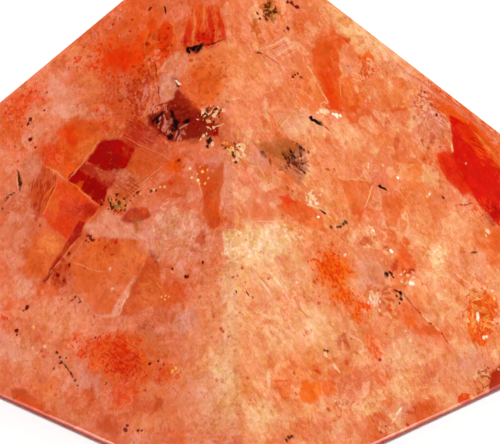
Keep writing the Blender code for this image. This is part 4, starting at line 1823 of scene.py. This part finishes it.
def roundEdges(piece):
    slope = math.atan2(stone["height"], stone["baseSide"] / 2)
    ridgeAngle = math.acos(-math.cos(slope) ** 2)
    # How far the rounding reaches from the ridges, and from the base edges
    ridgeSetback = stone["ridgeRadius"] / math.tan(ridgeAngle / 2)
    baseSetback = stone["baseEdgeRadius"] / math.tan(slope / 2)
    widest = max(ridgeSetback, baseSetback)
    weights = piece.data.attributes.new("bevel_weight_edge", "FLOAT", "EDGE")
    for edge in piece.data.edges:
        top = max(piece.data.vertices[corner].co.z for corner in edge.vertices)
        weights.data[edge.index].value = (ridgeSetback if top > mm else baseSetback) / widest
    rounding = piece.modifiers.new("polished edges", "BEVEL")
    rounding.limit_method = "WEIGHT"
    rounding.offset_type = "OFFSET"
    rounding.width = widest * mm
    rounding.segments = stone["edgeSegments"]
    rounding.profile = 0.5
    selectOnly(piece)
    bpy.ops.object.modifier_apply(modifier=rounding.name)
    bpy.ops.object.shade_smooth_by_angle(angle=math.radians(stone["smoothAngle"]))


def paintStone(piece):
    normals = [side["normal"] for side in sides.values()]
    for name in sides:
        piece.data.materials.append(paintSide(name))
    for face in piece.data.polygons:
        face.material_index = max(range(len(normals)), key=lambda i: face.normal.dot(normals[i]))


polishedStone = cutStone()
roundEdges(polishedStone)
paintStone(polishedStone)
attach(polishedStone, "root")
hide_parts("pyramid")
print("stone ready:", len(polishedStone.data.polygons), "faces")


# Floor and light: a white sheet under wide soft lamps (metres and watts)
studio = {
    "floorSize": 3.0,
    "floor": {"Base Color": (0.97, 0.97, 0.97, 1.0), "Roughness": 0.9, "Specular IOR Level": 0.0},
    "world": {"Color": (1.0, 1.0, 1.0, 1.0), "Strength": 0.03},
    "aim": (0, 0, 0.012),
}
lamps = {
    "overhead": {"place": (-0.22, 0.22, 0.95), "size": 0.55, "power": 8.7},
    "left": {"place": (-0.4, -0.88, 0.25), "size": 0.5, "power": 5.25},
    "right": {"place": (0.88, 0.4, 0.25), "size": 0.5, "power": 6.2},
    "behind": {"place": (-0.75, 0.78, 0.45), "size": 0.6, "power": 2.5},
}


def setInputs(node, values):
    for label, value in values.items():
        node.inputs[label].default_value = value


def makeStudio():
    bpy.ops.object.select_all(action="DESELECT")
    bpy.ops.mesh.primitive_plane_add(size=studio["floorSize"], location=(0, 0, 0))
    floor = bpy.context.active_object
    floor.name = "floor"
    paper = bpy.data.materials.new("white_paper")
    paper.use_nodes = True
    setInputs(paper.node_tree.nodes["Principled BSDF"], studio["floor"])
    floor.data.materials.append(paper)
    world = bpy.data.worlds.new("studio")
    bpy.context.scene.world = world
    world.use_nodes = True
    setInputs(world.node_tree.nodes["Background"], studio["world"])
    for name, lamp in lamps.items():
        light = bpy.data.lights.new(name, "AREA")
        light.shape = "DISK"
        light.size = lamp["size"]
        light.energy = lamp["power"]
        thing = bpy.data.objects.new(name, light)
        bpy.context.scene.collection.objects.link(thing)
        thing.location = lamp["place"]
        aim = Vector(studio["aim"]) - Vector(lamp["place"])
        thing.rotation_euler = aim.to_track_quat("-Z", "Y").to_euler()
    bpy.context.scene.view_settings.view_transform = "Standard"


makeStudio()
print("studio ready")
